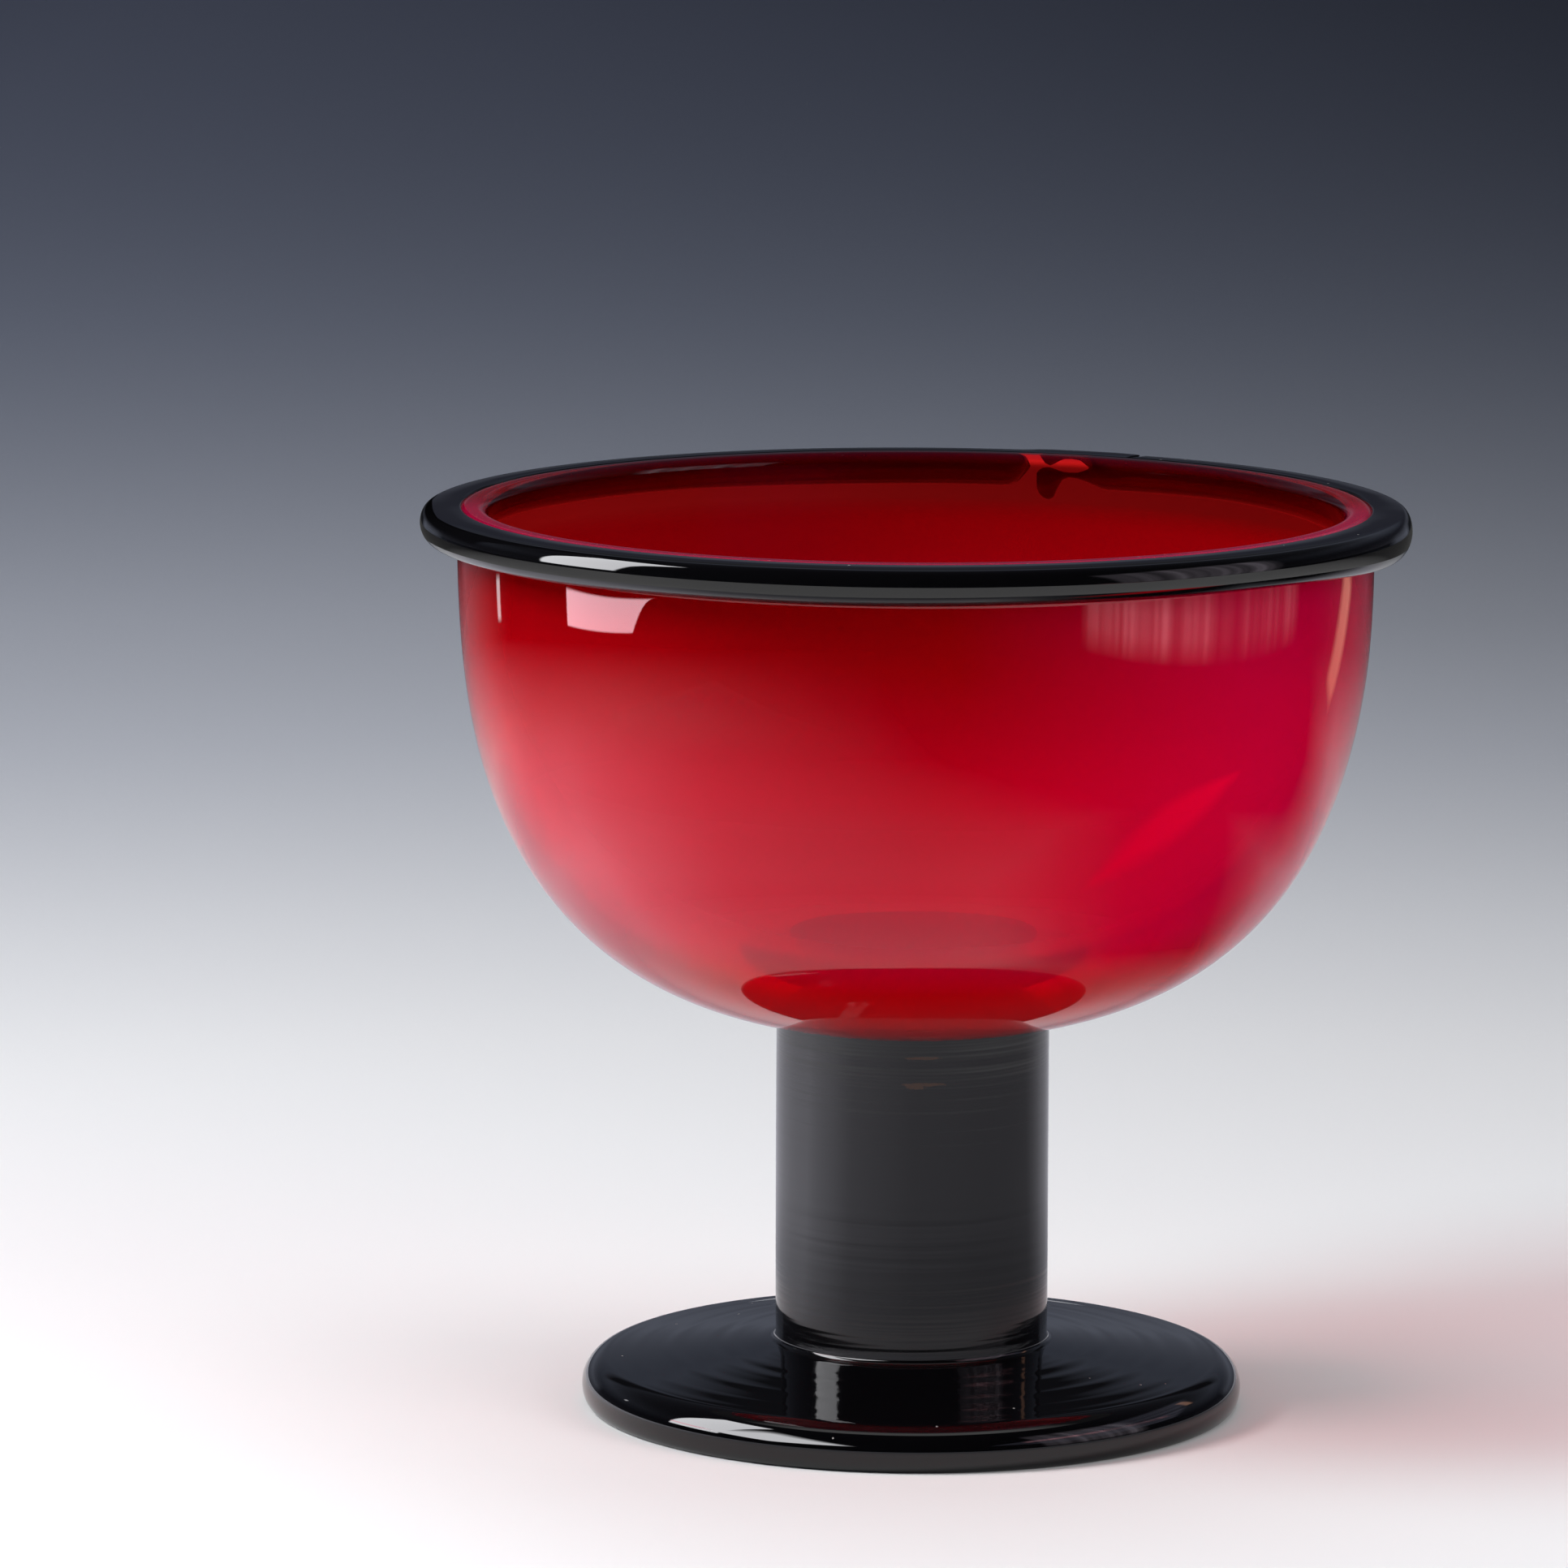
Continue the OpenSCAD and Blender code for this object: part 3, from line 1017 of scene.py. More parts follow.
@dataclass
class Stem:
    """The solid black stem, pressed to the cup's round bottom and welded to the foot."""

    cup: Cup
    radius: float = 36.0
    weld_r: float = 1.6
    base_h: float = 17.1
    sink: float = 0.12
    segments: int = 288
    side_points: int = 40
    top_points: int = 24
    free_radii: Point = (34.0, 36.0)
    free_heights: Point = (18.0, 26.0)
    waves: Sequence[Row] = ((2, 0.10, -0.5, 1 / 60), (3, 0.05, 0.0, 1 / 25))
    glass: BlackGlass = BlackGlass(
        "black_stem_glass", (0.0030, 0.0028, 0.0033), 0.08, ior=1.5, streaks=0.5,
        swell_scale=26.0, swell_depth=0.00018,
        marks=(
            (0.0028, 0.0991, 0.0056, 0.0005),
            (0.0030, 0.0921, 0.0065, 0.0006),
            (0.0010, 0.0916, 0.0030, 0.0009),
        ),
    )

    def cup_under(self, radius: float) -> float:
        """Height of the cup's underside at a radius.

        Args:
            radius: Distance from the axis.

        Returns:
            The height.
        """
        lean = (radius / self.cup.radius) ** (1 / self.cup.side_share)
        turn = math.acos(min(lean, 1.0))
        return self.cup.lip_h - self.cup.depth * math.sin(turn) ** self.cup.bottom_share

    def profile(self) -> list[Point]:
        """The outline, from the axis at the foot and back to the axis under the cup.

        Returns:
            Radius and height of each point.
        """
        top = self.cup_under(self.radius) + self.sink
        low = self.base_h - self.sink
        weld = corner(
            (self.radius + self.weld_r, self.base_h + self.weld_r),
            self.weld_r, self.weld_r, 270, 180, 10,
        )
        foot_side = [(r, low) for r in (0.0, 12.0, 24.0, 33.0, self.radius + self.weld_r)]
        side_start = self.base_h + self.weld_r
        side = [
            (self.radius, side_start + (top - side_start) * i / self.side_points)
            for i in range(1, self.side_points + 1)
        ]
        inwards = [self.radius * (1 - i / self.top_points) for i in range(1, self.top_points + 1)]
        return foot_side + weld + side + [(r, self.cup_under(r) + self.sink) for r in inwards]

    def wander(self, turn: np.ndarray, radius: np.ndarray, height: np.ndarray) -> np.ndarray:
        """The slight unevenness that the jacks leave along the stem.

        Args:
            turn: The angle of each point, in radians.
            radius: Its radius.
            height: Its height.

        Returns:
            The distance outwards.
        """
        free = reach_in(radius, *self.free_radii) * reach_in(height, *self.free_heights)
        return free * lobes(self.waves, turn, height)

    def build(self, effects: Effects) -> list[bpy.types.Object]:
        """Builds and dresses the stem.

        Args:
            effects: The shared node groups.

        Returns:
            The new pieces.
        """
        stem = lathe("black_stem", self.profile(), self.segments, self.wander)
        stem.data.materials.append(self.glass.material(effects))
        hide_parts("stem")
        return [stem]


@dataclass
class Foot:
    """The disc foot: a round edge, a top that rises to the stem, and a shallow hollow below."""

    radius: float = 87.6
    belly_h: float = 5.0
    edge_h: float = 12.4
    top_h: float = 17.1
    edge_w: float = 7.0
    under_w: float = 2.4
    rest_w: float = 9.0
    hollow_d: float = 2.2
    ridge_h: float = 0.02
    ridge_spacings: Point = (8.3, 5.1)
    ridge_fades: Point = (6.0, 8.0)
    ridge_start: Point = (39.0, 47.0)
    ridge_end: Point = (80.0, 72.0)
    ridge_waves: Sequence[Row] = ((1, 0.9, -0.8, 0.0), (3, 0.3, 0.4, 0.0))
    edge_radii: Point = (76.0, 82.0)
    edge_inset: float = 0.10
    edge_waves: Sequence[Row] = ((2, 0.10, 1.9, 0.0),)
    top_points: int = 90
    spot_r: float = 15.0
    spot_d: float = 0.8
    weld_r: float = 37.6
    segments: int = 288
    glass: BlackGlass = BlackGlass(
        "black_foot_glass", (0.002, 0.002, 0.0026), 0.03, ior=1.52, streaks=0.0,
        swell_scale=16.0, swell_depth=0.00012, rings_per_metre=110.0, ring_depth=0.0001
    )

    def profile(self) -> list[Point]:
        """The outline, from the middle of the hollow, out round the edge, and back over the top.

        Returns:
            Radius and height of each point.
        """
        rest_r = self.radius - self.under_w
        rest_inner_r = rest_r - self.rest_w
        spot_h = self.hollow_d + self.spot_d
        spot_edge = self.hollow_d * math.sqrt(1 - (self.spot_r / rest_inner_r) ** 2)
        spot = [(r, spot_h) for r in (0.0, 5.0, 10.0, self.spot_r)] + [(self.spot_r, spot_edge)]
        hollow = corner((0, 0), rest_inner_r, self.hollow_d, 90, 0, 60)
        hollow = [p for p in hollow if p[0] > self.spot_r + 0.5]
        rest = [(rest_inner_r + self.rest_w * i / 4, 0.0) for i in range(1, 4)]
        under = corner((rest_r, self.belly_h), self.under_w, self.belly_h, -90, 0, 16)
        start_r, rise = self.radius - self.edge_w, self.top_h - self.edge_h
        edge = corner(
            (start_r, self.belly_h), self.edge_w, self.edge_h - self.belly_h, 0, 90, 20
        )[1:]
        top = []
        for i in range(1, self.top_points + 1):
            share = i / self.top_points
            out = start_r + (self.weld_r - start_r) * share
            top.append((out, self.edge_h + rise * share + self.ridge(out, share)))
        middle = [(r, self.top_h) for r in (30.0, 20.0, 10.0, 0.0)]
        return spot + hollow + rest + under + edge + top + middle

    def ridge(self, radius: float, share: float) -> float:
        """Height of the low ridges that turning leaves on the top.

        Args:
            radius: Distance from the axis.
            share: How far in from the edge towards the stem, from 0 to 1.

        Returns:
            The height, which is nothing at both ends.
        """
        outer, inner = self.ridge_fades
        inset = min(1.0, share * outer, (1 - share) * inner)
        wide, narrow = (radius * 2 * math.pi / spacing for spacing in self.ridge_spacings)
        waves = math.sin(wide) + 0.5 * math.sin(narrow + 1)
        return -self.ridge_h * inset * (1 + waves)

    def wander(self, turn: np.ndarray, radius: np.ndarray, height: np.ndarray) -> np.ndarray:
        """The foot's edge is a little out of round, and the ridges of its top off centre.

        Args:
            turn: The angle of each point, in radians.
            radius: Its radius.
            height: Its height.

        Returns:
            The distance outwards.
        """
        edge = lobes(self.edge_waves, turn, height) - self.edge_inset
        on_top = reach_in(radius, *self.ridge_start) * reach_in(radius, *self.ridge_end)
        ridges = on_top * (height > self.edge_h) * lobes(self.ridge_waves, turn, height)
        return edge * reach_in(radius, *self.edge_radii) + ridges

    def build(self, effects: Effects) -> list[bpy.types.Object]:
        """Builds and dresses the foot.

        Args:
            effects: The shared node groups.

        Returns:
            The new pieces.
        """
        foot = lathe("black_foot", self.profile(), self.segments, self.wander)
        foot.data.materials.append(self.glass.material(effects))
        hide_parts("foot")
        return [foot]


@dataclass(frozen=True)
class SoftBox:
    """A flat lamp that shines evenly."""

    name: str
    place: Place
    aim: Place
    width: float
    height: float
    glow: float
    colour: Colour = (1.0, 1.0, 1.0)

    def build(self) -> bpy.types.Object:
        """Hangs the lamp.

        Returns:
            The lamp's object. Its power gives each point of its face the radiance glow.
        """
        light = bpy.data.lights.new(self.name, "AREA")
        light.shape = "RECTANGLE"
        light.size, light.size_y = self.width, self.height
        light.energy = self.glow * math.pi * self.width * self.height
        light.color = self.colour
        lamp = bpy.data.objects.new(self.name, light)
        lamp.location = self.place
        way = Vector(self.aim) - Vector(self.place)
        lamp.rotation_euler = way.to_track_quat("-Z", "Y").to_euler()
        lamp.visible_glossy = False
        lamp.visible_transmission = False
        bpy.context.scene.collection.objects.link(lamp)
        return lamp


@dataclass(frozen=True)
class GlowCard:
    """A panel seen only in the gloss of the bowl's outside. It lights nothing.

    Places on it run from 0 to 1 along its width, X, and its height, Y.

    folds: How closely a curtain's folds stand, or 0 for a plain panel.
    soft_edge: Width of its blurred edge, in metres.
    fade: Share of a curtain's light lost where X is low.
    turn: Its turn in its own plane, in degrees.
    cut: Share of its width that a curved cut takes where X is low.
    lean: Rise of its top and low edges along X, as a share of its height.
    bow: How far it bends into a sickle.
    first_only: Whether only a first reflection shows it.
    """

    name: str
    place: Place
    aim: Place
    width: float
    height: float
    glow: Colour
    folds: float = 0.0
    soft_edge: float = 0.02
    fade: float = 0.0
    turn: float = 0.0
    cut: float = 0.0
    lean: float = 0.0
    bow: float = 0.0
    first_only: bool = False
    fold_contrast: float = 2.5
    fade_zone: Point = (0.45, 0.575)
    edge_gain: float = 20.0
    cut_gain: float = 80.0
    cut_curve: float = 0.35
    bow_gain: float = 3.0
    bow_room: float = 0.55
    bow_taper: float = 0.5

    def folded(self, nodes: NodeSet, parts: Parts) -> Socket:
        """The light and dark of a curtain's folds.

        Args:
            nodes: The material's nodes.
            parts: The place on the card.

        Returns:
            The mask.
        """
        line = nodes.add("ShaderNodeCombineXYZ", {"X": parts["X"]}).outputs[0]
        bright = nodes.rise(parts["X"], *self.fade_zone)
        return nodes.times(
            nodes.math("POWER", nodes.noise(line, self.folds), self.fold_contrast),
            nodes.math("MULTIPLY_ADD", bright, self.fade, 1.0 - self.fade),
        )

    def bowed(self, nodes: NodeSet, parts: Parts) -> Socket:
        """A sickle, pointed at both ends.

        Args:
            nodes: The material's nodes.
            parts: The place on the card.

        Returns:
            The mask.
        """
        along = nodes.math("MULTIPLY_ADD", parts["X"], 2.0, -1.0)
        square = nodes.times(along, along)
        across = nodes.math("MULTIPLY_ADD", parts["Y"], 2.0, -1.0)
        bend = nodes.math("MULTIPLY_ADD", square, self.bow, -self.bow / 2)
        across = nodes.math("ADD", across, bend)
        room = nodes.math("MULTIPLY_ADD", square, -self.bow_taper, self.bow_room)
        room = nodes.math("SUBTRACT", room, nodes.math("ABSOLUTE", across))
        return nodes.math("MULTIPLY", room, self.bow_gain, clamp=True)

    def trimmed(self, nodes: NodeSet, parts: Parts) -> Socket:
        """A patch with leaning edges and a curved cut.

        Args:
            nodes: The material's nodes.
            parts: The place on the card.

        Returns:
            The mask.
        """
        top = nodes.math("MULTIPLY_ADD", parts["X"], self.lean, 1.0 - self.lean)
        under = nodes.math("MAXIMUM", nodes.math("SUBTRACT", top, parts["Y"]), 0.0)
        fall = nodes.times(nodes.math("POWER", under, self.cut_curve), self.cut)
        past = nodes.math("SUBTRACT", parts["X"], fall)
        over = nodes.math("SUBTRACT", parts["Y"], nodes.times(parts["X"], self.lean))
        return nodes.times(
            nodes.math("MULTIPLY", under, self.edge_gain, clamp=True),
            nodes.math("MULTIPLY", past, self.cut_gain, clamp=True),
            nodes.math("MULTIPLY", over, self.edge_gain, clamp=True),
        )

    def material(self) -> bpy.types.Material:
        """Builds the card's light, shaped by its masks.

        Returns:
            The material.
        """
        material, nodes, output = new_material(self.name)
        place = nodes.add("ShaderNodeTexCoord").outputs["UV"]
        parts = nodes.add("ShaderNodeSeparateXYZ", {0: place}).outputs
        masks = [nodes.facing()]
        for axis, size in (("X", self.width), ("Y", self.height)):
            inset = nodes.math("MINIMUM", parts[axis], nodes.rest(parts[axis]))
            masks.append(nodes.math("MULTIPLY", inset, size / self.soft_edge, clamp=True))
        shapes = ((self.folds, self.folded), (self.bow, self.bowed), (self.cut, self.trimmed))
        masks += [shape(nodes, parts) for wanted, shape in shapes if wanted > 0]
        masks.append(nodes.math("LESS_THAN", nodes.light_path("Transmission Depth"), 0.5))
        if self.first_only:
            masks.append(nodes.math("LESS_THAN", nodes.light_path("Glossy Depth"), 1.5))
        light = nodes.add("ShaderNodeEmission", {"Color": (*self.glow, 1.0)})
        clear = nodes.add("ShaderNodeBsdfTransparent")
        shown = nodes.mix_shaders(nodes.times(*masks), clear, light)
        nodes.tree.links.new(shown, output.inputs["Surface"])
        material.cycles.emission_sampling = "NONE"
        return material

    def build(self) -> bpy.types.Object:
        """Hangs the card.

        Returns:
            The card.
        """
        square = ((0, 0), (1, 0), (1, 1), (0, 1))
        corners = [((x - 0.5) * self.width, (y - 0.5) * self.height, 0) for x, y in square]
        card = make_object(self.name, np.array(corners), [(0, 1, 2, 3)])
        layer = card.data.uv_layers.new(name="card")
        for loop, place in zip(layer.data, square):
            loop.uv = place
        card.data.materials.append(self.material())
        card.location = self.place
        way = Vector(self.aim) - Vector(self.place)
        spin = Quaternion((0, 0, 1), math.radians(self.turn))
        card.rotation_euler = (way.to_track_quat("Z", "Y") @ spin).to_euler()
        show_in_gloss_only(card)
        return card


def annulus(name: str, inner_r: float, outer_r: float, height: float) -> bpy.types.Object:
    """Makes a flat ring round the Z axis.

    Args:
        name: The object's name.
        inner_r: Its inner radius, in metres.
        outer_r: Its outer radius.
        height: Its height above the floor.

    Returns:
        The new object.
    """
    points, faces = [], []
    for i in range(ROUND_SEGMENTS):
        turn = 2 * math.pi * i / ROUND_SEGMENTS
        for radius in (inner_r, outer_r):
            points.append((radius * math.cos(turn), radius * math.sin(turn), height))
        after = (i + 1) % ROUND_SEGMENTS
        faces.append((2 * i, 2 * i + 1, 2 * after + 1, 2 * after))
    return make_object(name, np.array(points), faces)


def show_in_gloss_only(thing: bpy.types.Object) -> None:
    """Leaves an object to be seen in reflections alone."""
    for ray in ("camera", "diffuse", "transmission", "volume_scatter", "shadow"):
        setattr(thing, f"visible_{ray}", False)


@dataclass(frozen=True)
class DarkCard:
    """A dark sheet over the floor, seen only from above and in the gloss: a painted dark reflection
    of the room, and near the bowl at its right a painted reflection of the floor's shadow.

    Side stops run round the bowl: 0.25 at its left, 0.5 at its front, 0.75 at its right.
    """

    height: float = 0.105
    inner_r: float = 0.145
    hole_r: float = 0.065
    hole_fade: float = 0.03
    outer_r: float = 4.0
    reach_stops: Sequence[Row] = (
        (0.00, 0.0), (0.03, 0.3), (0.08, 0.6), (0.17, 0.85), (0.33, 0.97), (0.60, 1.0), (1.00, 1.0)
    )
    reach_span: float = 0.87
    side_stops: Sequence[Row] = (
        (0.00, 0.0), (0.15, 0.0), (0.22, 0.25), (0.306, 0.30), (0.375, 0.36), (0.467, 0.53),
        (0.558, 0.78), (0.653, 1.0), (0.764, 1.0), (0.811, 0.4), (0.847, 0.0), (1.00, 0.0)
    )
    side_gain: float = 1.8
    far_start: float = 0.31
    far_end: float = 0.62
    # Near the bowl at its right: a painted dark reflection of the floor's shadow.
    floor_shadow_sides: Sequence[Row] = (
        (0.00, 0.0), (0.54, 0.0), (0.585, 0.7), (0.62, 0.95),
        (0.65, 1.0), (0.70, 1.0), (0.76, 0.1), (1.00, 0.0)
    )
    far_sides: Sequence[Row] = (
        (0.00, 0.3), (0.12, 0.6), (0.18, 1.0), (0.80, 1.0), (0.88, 0.5), (1.00, 0.3)
    )

    def material(self) -> bpy.types.Material:
        """Builds the sheet's black, which thins towards the bowl and round its left, and near the
        bowl at its right stands for the floor's shadow as a painted dark reflection.

        Returns:
            The material.
        """
        material, nodes, output = new_material("dark_card")
        parts = nodes.position()[1]
        flat = nodes.add("ShaderNodeCombineXYZ", {"X": parts["X"], "Y": parts["Y"]}).outputs[0]
        reach = nodes.add("ShaderNodeVectorMath", {0: flat}, operation="LENGTH").outputs["Value"]
        side = nodes.turn_share(parts)
        out = nodes.math("SUBTRACT", reach, self.inner_r)
        out = nodes.math("DIVIDE", out, self.reach_span, clamp=True)
        by_reach = nodes.grey_ramp(out, self.reach_stops)
        by_side = nodes.grey_ramp(side, self.side_stops)
        middle = nodes.times(by_reach, by_side)
        middle = nodes.math("MULTIPLY", middle, self.side_gain, clamp=True)
        # Near the bowl at its right the sheet darkens the gloss: a painted reflection of the
        # floor's shadow there.
        near = nodes.rise(reach, self.hole_r, self.hole_r + self.hole_fade)
        near = nodes.times(near, nodes.grey_ramp(side, self.floor_shadow_sides))
        far = nodes.rise(reach, self.far_start, self.far_end)
        far = nodes.times(far, nodes.grey_ramp(side, self.far_sides))
        lit = nodes.times(nodes.rest(nodes.math("MAXIMUM", middle, near)), nodes.rest(far))
        share = nodes.times(nodes.rest(lit), nodes.facing())
        black = nodes.add("ShaderNodeEmission", {"Strength": 0.0})
        clear = nodes.add("ShaderNodeBsdfTransparent")
        nodes.tree.links.new(nodes.mix_shaders(share, clear, black), output.inputs["Surface"])
        return material

    def build(self) -> bpy.types.Object:
        """Holds the sheet in place.

        Returns:
            The sheet.
        """
        card = annulus("dark_card", self.hole_r, self.outer_r, self.height)
        card.data.materials.append(self.material())
        show_in_gloss_only(card)
        return card


@dataclass(frozen=True)
class RimBounce:
    """The floor's light for the gloss under the lip trail: a bright ring just below it."""

    height: float = 0.2272
    front: Point = (-0.0292, -0.1125)
    inner_r: float = 0.1318
    outer_r: float = 0.178
    glow: float = 1.0
    back_glow: float = 0.06

    def build(self) -> bpy.types.Object:
        """Holds the ring in place.

        Returns:
            The ring.
        """
        ring = annulus("rim_bounce", self.inner_r, self.outer_r, self.height)
        material, nodes, output = new_material("rim_bounce")
        front = nodes.rise(nodes.position()[1]["Y"], *self.front)
        glow = nodes.math("MULTIPLY_ADD", front, self.glow - self.back_glow, self.back_glow)
        light = nodes.add("ShaderNodeEmission", {"Strength": glow})
        nodes.tree.links.new(light.outputs[0], output.inputs["Surface"])
        material.cycles.emission_sampling = "NONE"
        ring.data.materials.append(material)
        show_in_gloss_only(ring)
        return ring


@dataclass
class Studio:
    """A floor, white by the bowl and falling away into grey in painted falloff of light, soft
    lamps, panels for the gloss, and the camera.

    The gloss fields say how bright the floor looks in reflections, by turn and distance in metres.
    A pair of places tells where a change starts and where it is complete.
    """

    floor_r: float = 9.0
    boxes: Sequence[SoftBox] = (
        SoftBox("left_softbox", (-0.82, -0.20, 0.80), (0.0, -0.02, 0.10), 0.4, 0.45, 19.0),
        SoftBox(
            "right_window", (0.95, -0.52, 0.65), (0.1, -0.1, 0.0), 0.75, 0.8, 3.2, (1.0, 0.98, 0.96)
        ),
        SoftBox("top_softbox", (0.15, 0.3, 1.8), (0.15, 0.2, 0.0), 1.2, 1.2, 2.4),
    )
    cards: Sequence[GlowCard] = (
        GlowCard(
            "left_panel", (-1.039, -0.193, 0.66), (0.0, -0.02, 0.14), 0.5, 0.95, (11.0, 11.0, 11.4)
        ),
        GlowCard(
            "low_backdrop", (0.0, 1.25, 0.17), (0.0, 0.0, 0.17), 2.4, 0.46,
            (0.17, 0.185, 0.235), soft_edge=0.22
        ),
        GlowCard(
            "right_curtain", (0.90, -0.40, 0.42), (0.0, 0.0, 0.16), 0.85, 0.85,
            (3.4, 3.0, 3.5), folds=9.0, soft_edge=0.12
        ),
        GlowCard(
            "near_softbox", (-0.505, -0.156, 0.1480), (-0.076, -0.092, 0.1480), 0.266, 0.033,
            (12.0, 7.1, 8.1), soft_edge=0.003, cut=0.31, lean=0.2
        ),
        GlowCard(
            "foot_panel", (-0.24, -0.24, 0.095), (-0.24, -0.24, 0.0), 0.27, 0.25,
            (11.0, 11.0, 11.4), soft_edge=0.03, first_only=True
        ),
        GlowCard(
            "foot_window", (0.28, -0.14, 0.095), (0.28, -0.14, 0.0), 0.28, 0.40,
            (1.3, 1.3, 1.75), folds=9.0, soft_edge=0.03, first_only=True
        ),
        GlowCard(
            "back_screen", (0.0, 0.36, 0.205), (0.0, 0.0, 0.205), 0.56, 0.13,
            (0.012, 0.013, 0.016), soft_edge=0.04
        ),
        GlowCard(
            "front_screen", (0.0, 0.36, 0.352), (0.0, 0.0, 0.352), 0.34, 0.08,
            (0.03, 0.031, 0.036), soft_edge=0.03
        ),
        GlowCard(
            "near_curtain", (0.3595, -0.1546, 0.1675), (0.0795, -0.0486, 0.1675), 0.477, 0.053,
            (12.0, 5.0, 5.6), folds=17.0, soft_edge=0.02, fade=0.7
        ),
        GlowCard(
            "warm_strip", (0.286, 0.128, 0.168), (0.10, -0.05, 0.168), 0.034, 0.078,
            (1.5, 0.8, 0.55), soft_edge=0.010, turn=32.0
        ),
        GlowCard(
            "lip_screen", (-0.137, 0.05, 0.332), (1.0, 0.05, 0.332), 0.20, 0.188,
            (0.0, 0.0, 0.0), soft_edge=0.004
        ),
        GlowCard(
            "red_crescent", (0.172, -0.095, 0.1056), (0.172, -0.095, 1.0), 0.20, 0.085,
            (2.6, 0.0, 0.03), soft_edge=0.01, turn=17.3, bow=0.6
        ),
        GlowCard(
            "thin_strip", (-0.418, 0.198, 0.158), (-0.107, -0.054, 0.158), 0.018, 0.026,
            (3.0, 3.0, 3.1), soft_edge=0.004
        ),
    )
    camera_place: Place = (0.0, -2.4, 0.5454)
    camera_lens: float = 211.85
    camera_pitch: float = 8.991
    camera_yaw: float = -0.819
    camera_roll: float = 0.2
    sensor: float = 36.0
    clip: Point = (0.1, 60.0)
    # Painted shade on the floor behind the bowl: darker at its right, lighter at its left.
    floor_side_shade: float = 0.7
    side_shade_limit: float = 0.45
    side_shade_zone: Point = (0.25, 1.5)
    gloss_tint: Colour = (0.48, 0.475, 0.53)
    gloss_levels: Point = (1.45, 2.0)
    gloss_growth: Point = (0.2, 0.3111)
    gloss_start: Point = (0.1083, 0.1917)
    gloss_end: Point = (0.7, 0.5)
    room_front: Point = (-0.2778, 0.8333)
    gloss_stops: Sequence[Row] = (
        (0.00, 0.50), (0.08, 0.70), (0.13, 0.90), (0.178, 1.20), (0.236, 1.70),
        (0.306, 1.40), (0.361, 0.95), (0.50, 0.65), (0.60, 0.60), (0.706, 0.50),
        (0.80, 0.35), (0.87, 0.55), (1.00, 0.50)
    )
    sky_stops: Sequence[Row] = (
        (0.00, 0.06, 0.06, 0.08),
        (0.50, 0.05, 0.052, 0.068),
        (0.54, 0.03, 0.032, 0.044),
        (0.58, 0.03, 0.032, 0.046),
        (0.62, 0.07, 0.08, 0.11),
        (0.68, 0.13, 0.145, 0.19),
        (0.78, 0.05, 0.055, 0.07),
        (1.00, 0.03, 0.03, 0.04),
    )
    # The floor's colour by distance: white by the bowl, greying further off, a painted falloff of
    # light.
    floor_falloff_stops: Sequence[Row] = (
        (0.00, 0.90, 0.90, 0.90),
        (0.03, 0.91, 0.915, 0.93),
        (0.06, 0.94, 0.947, 0.965),
        (0.085, 0.91, 0.925, 0.96),
        (0.13, 0.80, 0.83, 0.90),
        (0.30, 0.64, 0.69, 0.80),
        (0.60, 0.47, 0.50, 0.58),
        (1.00, 0.42, 0.44, 0.53),
    )

    def floor_material(self) -> bpy.types.Material:
        """The floor's white, which greys with distance from the bowl, a painted falloff of light,
        and behind the bowl is painted darker at its right and lighter at its left, as the light
        falls.

        Returns:
            The material.
        """
        material, nodes, output = new_material("pale_floor")
        place, parts = nodes.position()
        reach = nodes.add("ShaderNodeVectorMath", {0: place}, operation="LENGTH").outputs["Value"]
        # Painted falloff of light: the floor's white greys with distance.
        paint = nodes.ramp(nodes.math("DIVIDE", reach, self.floor_r), self.floor_falloff_stops)
        # Painted shade behind the bowl: darker at its right, lighter at its left.
        painted_side_shade = nodes.times(parts["X"], self.floor_side_shade)
        painted_side_shade = nodes.math("MINIMUM", nodes.math("MAXIMUM", painted_side_shade, -self.side_shade_limit), self.side_shade_limit)
        keep = nodes.rest(nodes.times(nodes.rise(parts["Y"], *self.side_shade_zone), painted_side_shade))
        toned = nodes.add("ShaderNodeVectorMath", {0: paint, 1: keep}, operation="MULTIPLY")
        cover = nodes.add(
            "ShaderNodeBsdfPrincipled",
            {"Base Color": toned.outputs[0], "Roughness": 0.9, "Specular IOR Level": 0.1},
        )
        glow = nodes.grey_ramp(nodes.turn_share(parts), self.gloss_stops, self.gloss_tint)
        low, high = self.gloss_levels
        lit = nodes.math("MULTIPLY_ADD", nodes.rise(reach, *self.gloss_growth), high - low, low)
        mirrored = nodes.add("ShaderNodeEmission", {"Color": glow, "Strength": lit})
        seen = nodes.times(
            nodes.light_path("Is Glossy Ray"),
            nodes.rise(reach, *self.gloss_start),
            nodes.rise(reach, *self.gloss_end),
        )
        nodes.tree.links.new(nodes.mix_shaders(seen, cover, mirrored), output.inputs["Surface"])
        return material

    def build_floor(self) -> bpy.types.Object:
        """Lays the floor, a round disc.

        Returns:
            The floor.
        """
        turns = [2 * math.pi * i / ROUND_SEGMENTS for i in range(ROUND_SEGMENTS)]
        ring = [(self.floor_r * math.cos(t), self.floor_r * math.sin(t), 0.0) for t in turns]
        faces = [(i, (i + 1) % ROUND_SEGMENTS, ROUND_SEGMENTS) for i in range(ROUND_SEGMENTS)]
        floor = make_object("floor", np.array(ring + [(0.0, 0.0, 0.0)]), faces)
        floor.data.materials.append(self.floor_material())
        return floor

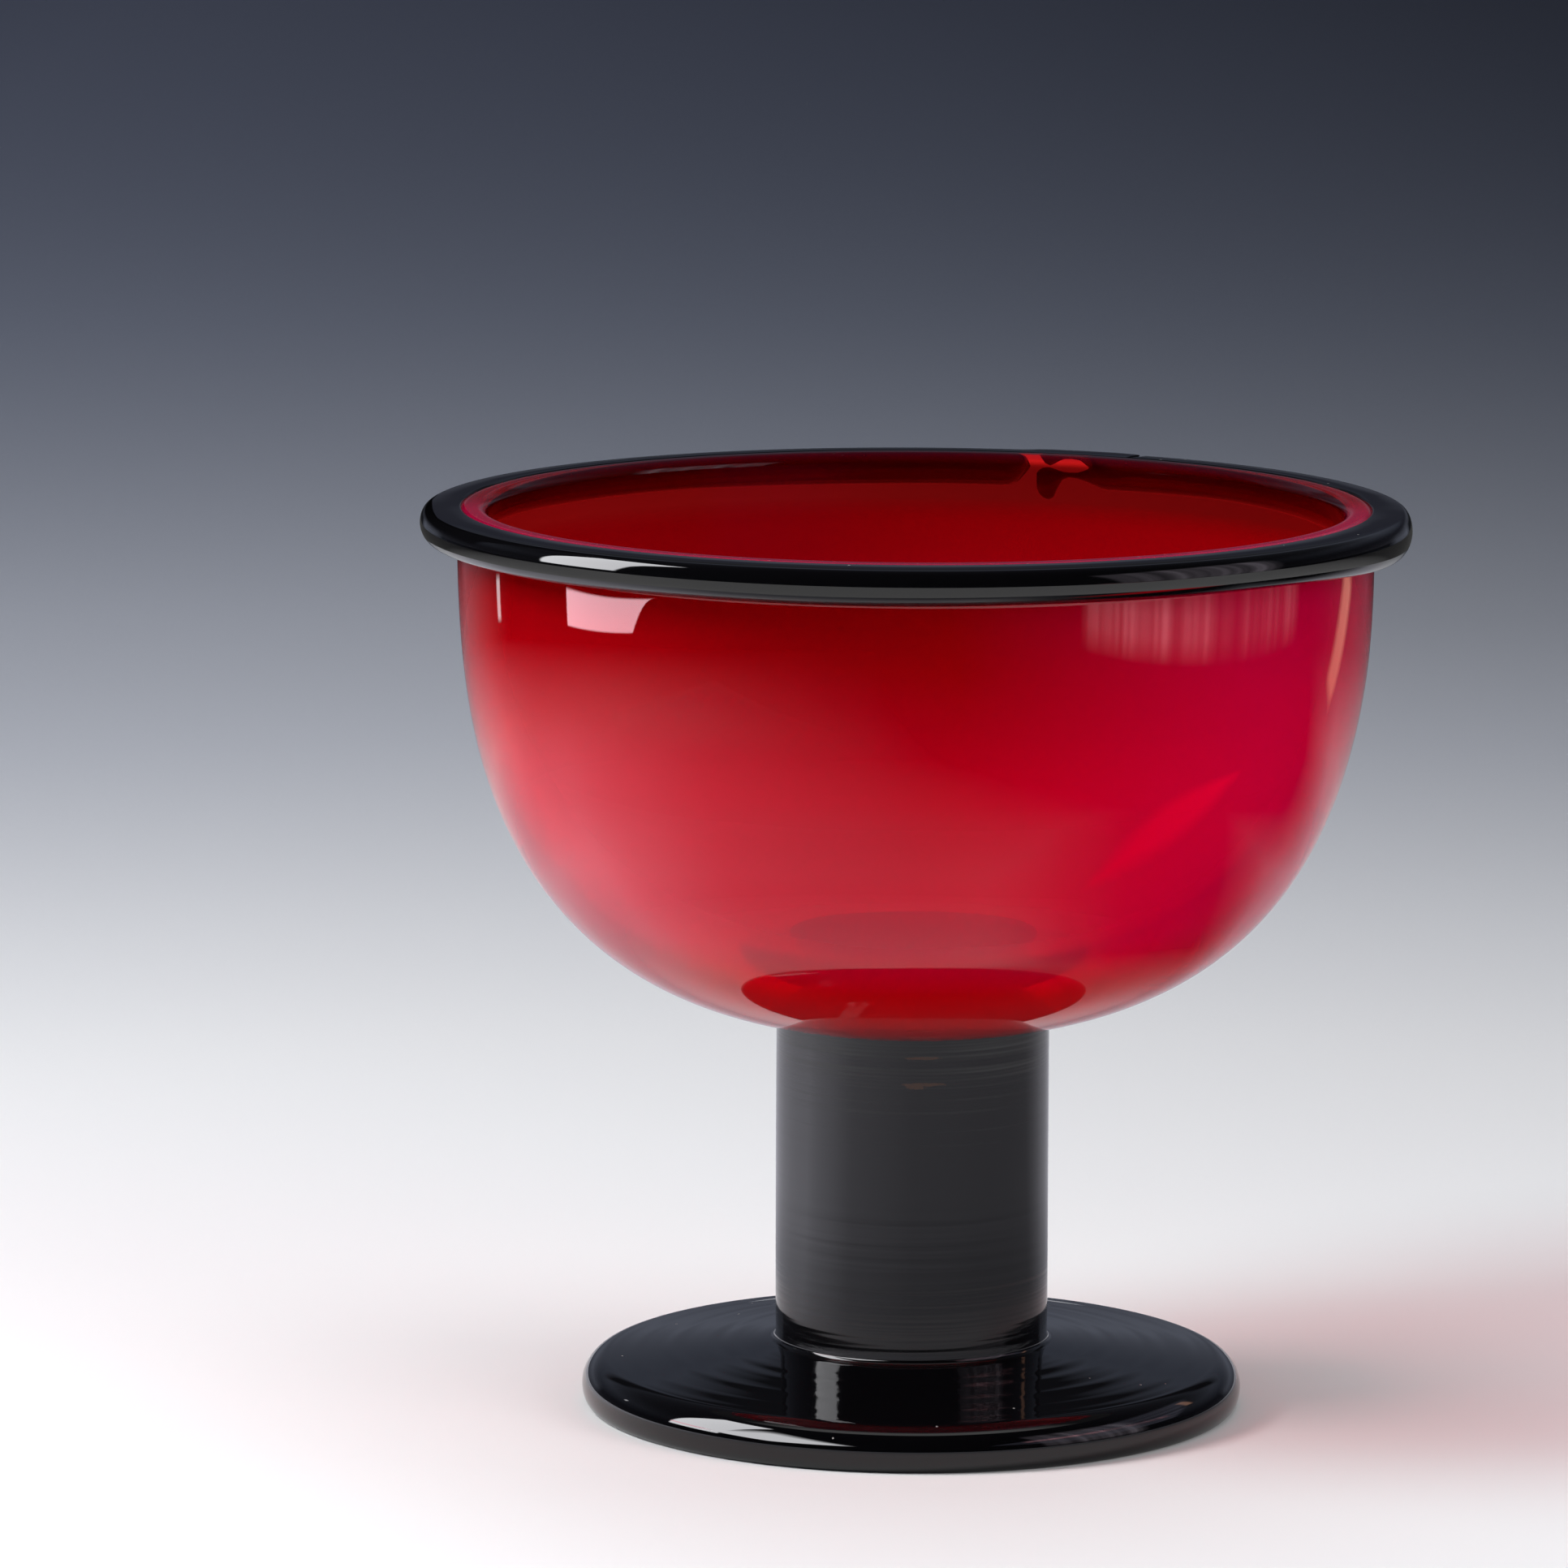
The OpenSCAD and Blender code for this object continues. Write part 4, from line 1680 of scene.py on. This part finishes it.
    def build_world(self) -> None:
        """Fills the room above the floor with grey, lighter behind the bowl than before it."""
        world = bpy.data.worlds.new("studio")
        bpy.context.scene.world = world
        world.use_nodes = True
        world.node_tree.nodes.clear()
        nodes = NodeSet(world.node_tree)
        output = nodes.add("ShaderNodeOutputWorld")
        parts = nodes.add(
            "ShaderNodeSeparateXYZ", {0: nodes.add("ShaderNodeTexCoord").outputs["Generated"]}
        ).outputs
        by_height = nodes.ramp(nodes.math("MULTIPLY_ADD", parts["Z"], 0.5, 0.5), self.sky_stops)
        ahead = nodes.rest(nodes.rise(parts["Y"], *self.room_front))
        keep = nodes.rest(nodes.times(nodes.light_path("Is Glossy Ray"), ahead))
        light = nodes.add("ShaderNodeBackground", {"Color": by_height, "Strength": keep})
        nodes.tree.links.new(light.outputs[0], output.inputs["Surface"])

    def build_camera(self) -> bpy.types.Object:
        """Sets the camera where the photograph was taken from.

        Returns:
            The camera.
        """
        lens = bpy.data.cameras.new("camera")
        lens.lens = self.camera_lens
        lens.sensor_width = self.sensor
        lens.clip_start, lens.clip_end = self.clip
        camera = bpy.data.objects.new("camera", lens)
        pitch, yaw, roll = map(math.radians, (self.camera_pitch, self.camera_yaw, self.camera_roll))
        flat = math.cos(pitch)
        ahead = Vector((math.sin(yaw) * flat, math.cos(yaw) * flat, -math.sin(pitch)))
        level = ahead.cross(Vector((0, 0, 1))).normalized()
        upright = level.cross(ahead).normalized()
        right = math.cos(roll) * level + math.sin(roll) * upright
        up = -math.sin(roll) * level + math.cos(roll) * upright
        turn = Matrix((right, up, -ahead)).transposed()
        camera.matrix_world = Matrix.Translation(self.camera_place) @ turn.to_4x4()
        bpy.context.scene.collection.objects.link(camera)
        bpy.context.scene.camera = camera
        return camera

    def build(self) -> None:
        """Builds the whole studio."""
        self.build_floor()
        self.build_world()
        for light in (*self.boxes, *self.cards, DarkCard(), RimBounce()):
            light.build()
        self.build_camera()
        bpy.context.scene.view_settings.view_transform = "Standard"


def main() -> None:
    """Builds the bowl and its studio, and reports each piece."""
    logging.basicConfig(level=logging.INFO, format="%(name)s: %(message)s")
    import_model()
    effects = Effects()
    cup = Cup()
    for part in (cup, LipTrail(cup), Stem(cup), Foot()):
        for piece in part.build(effects):
            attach(piece, ROOT)
            LOG.info("%s: %d faces", piece.name, len(piece.data.polygons))
    Studio().build()


if __name__ == "__main__":
    main()
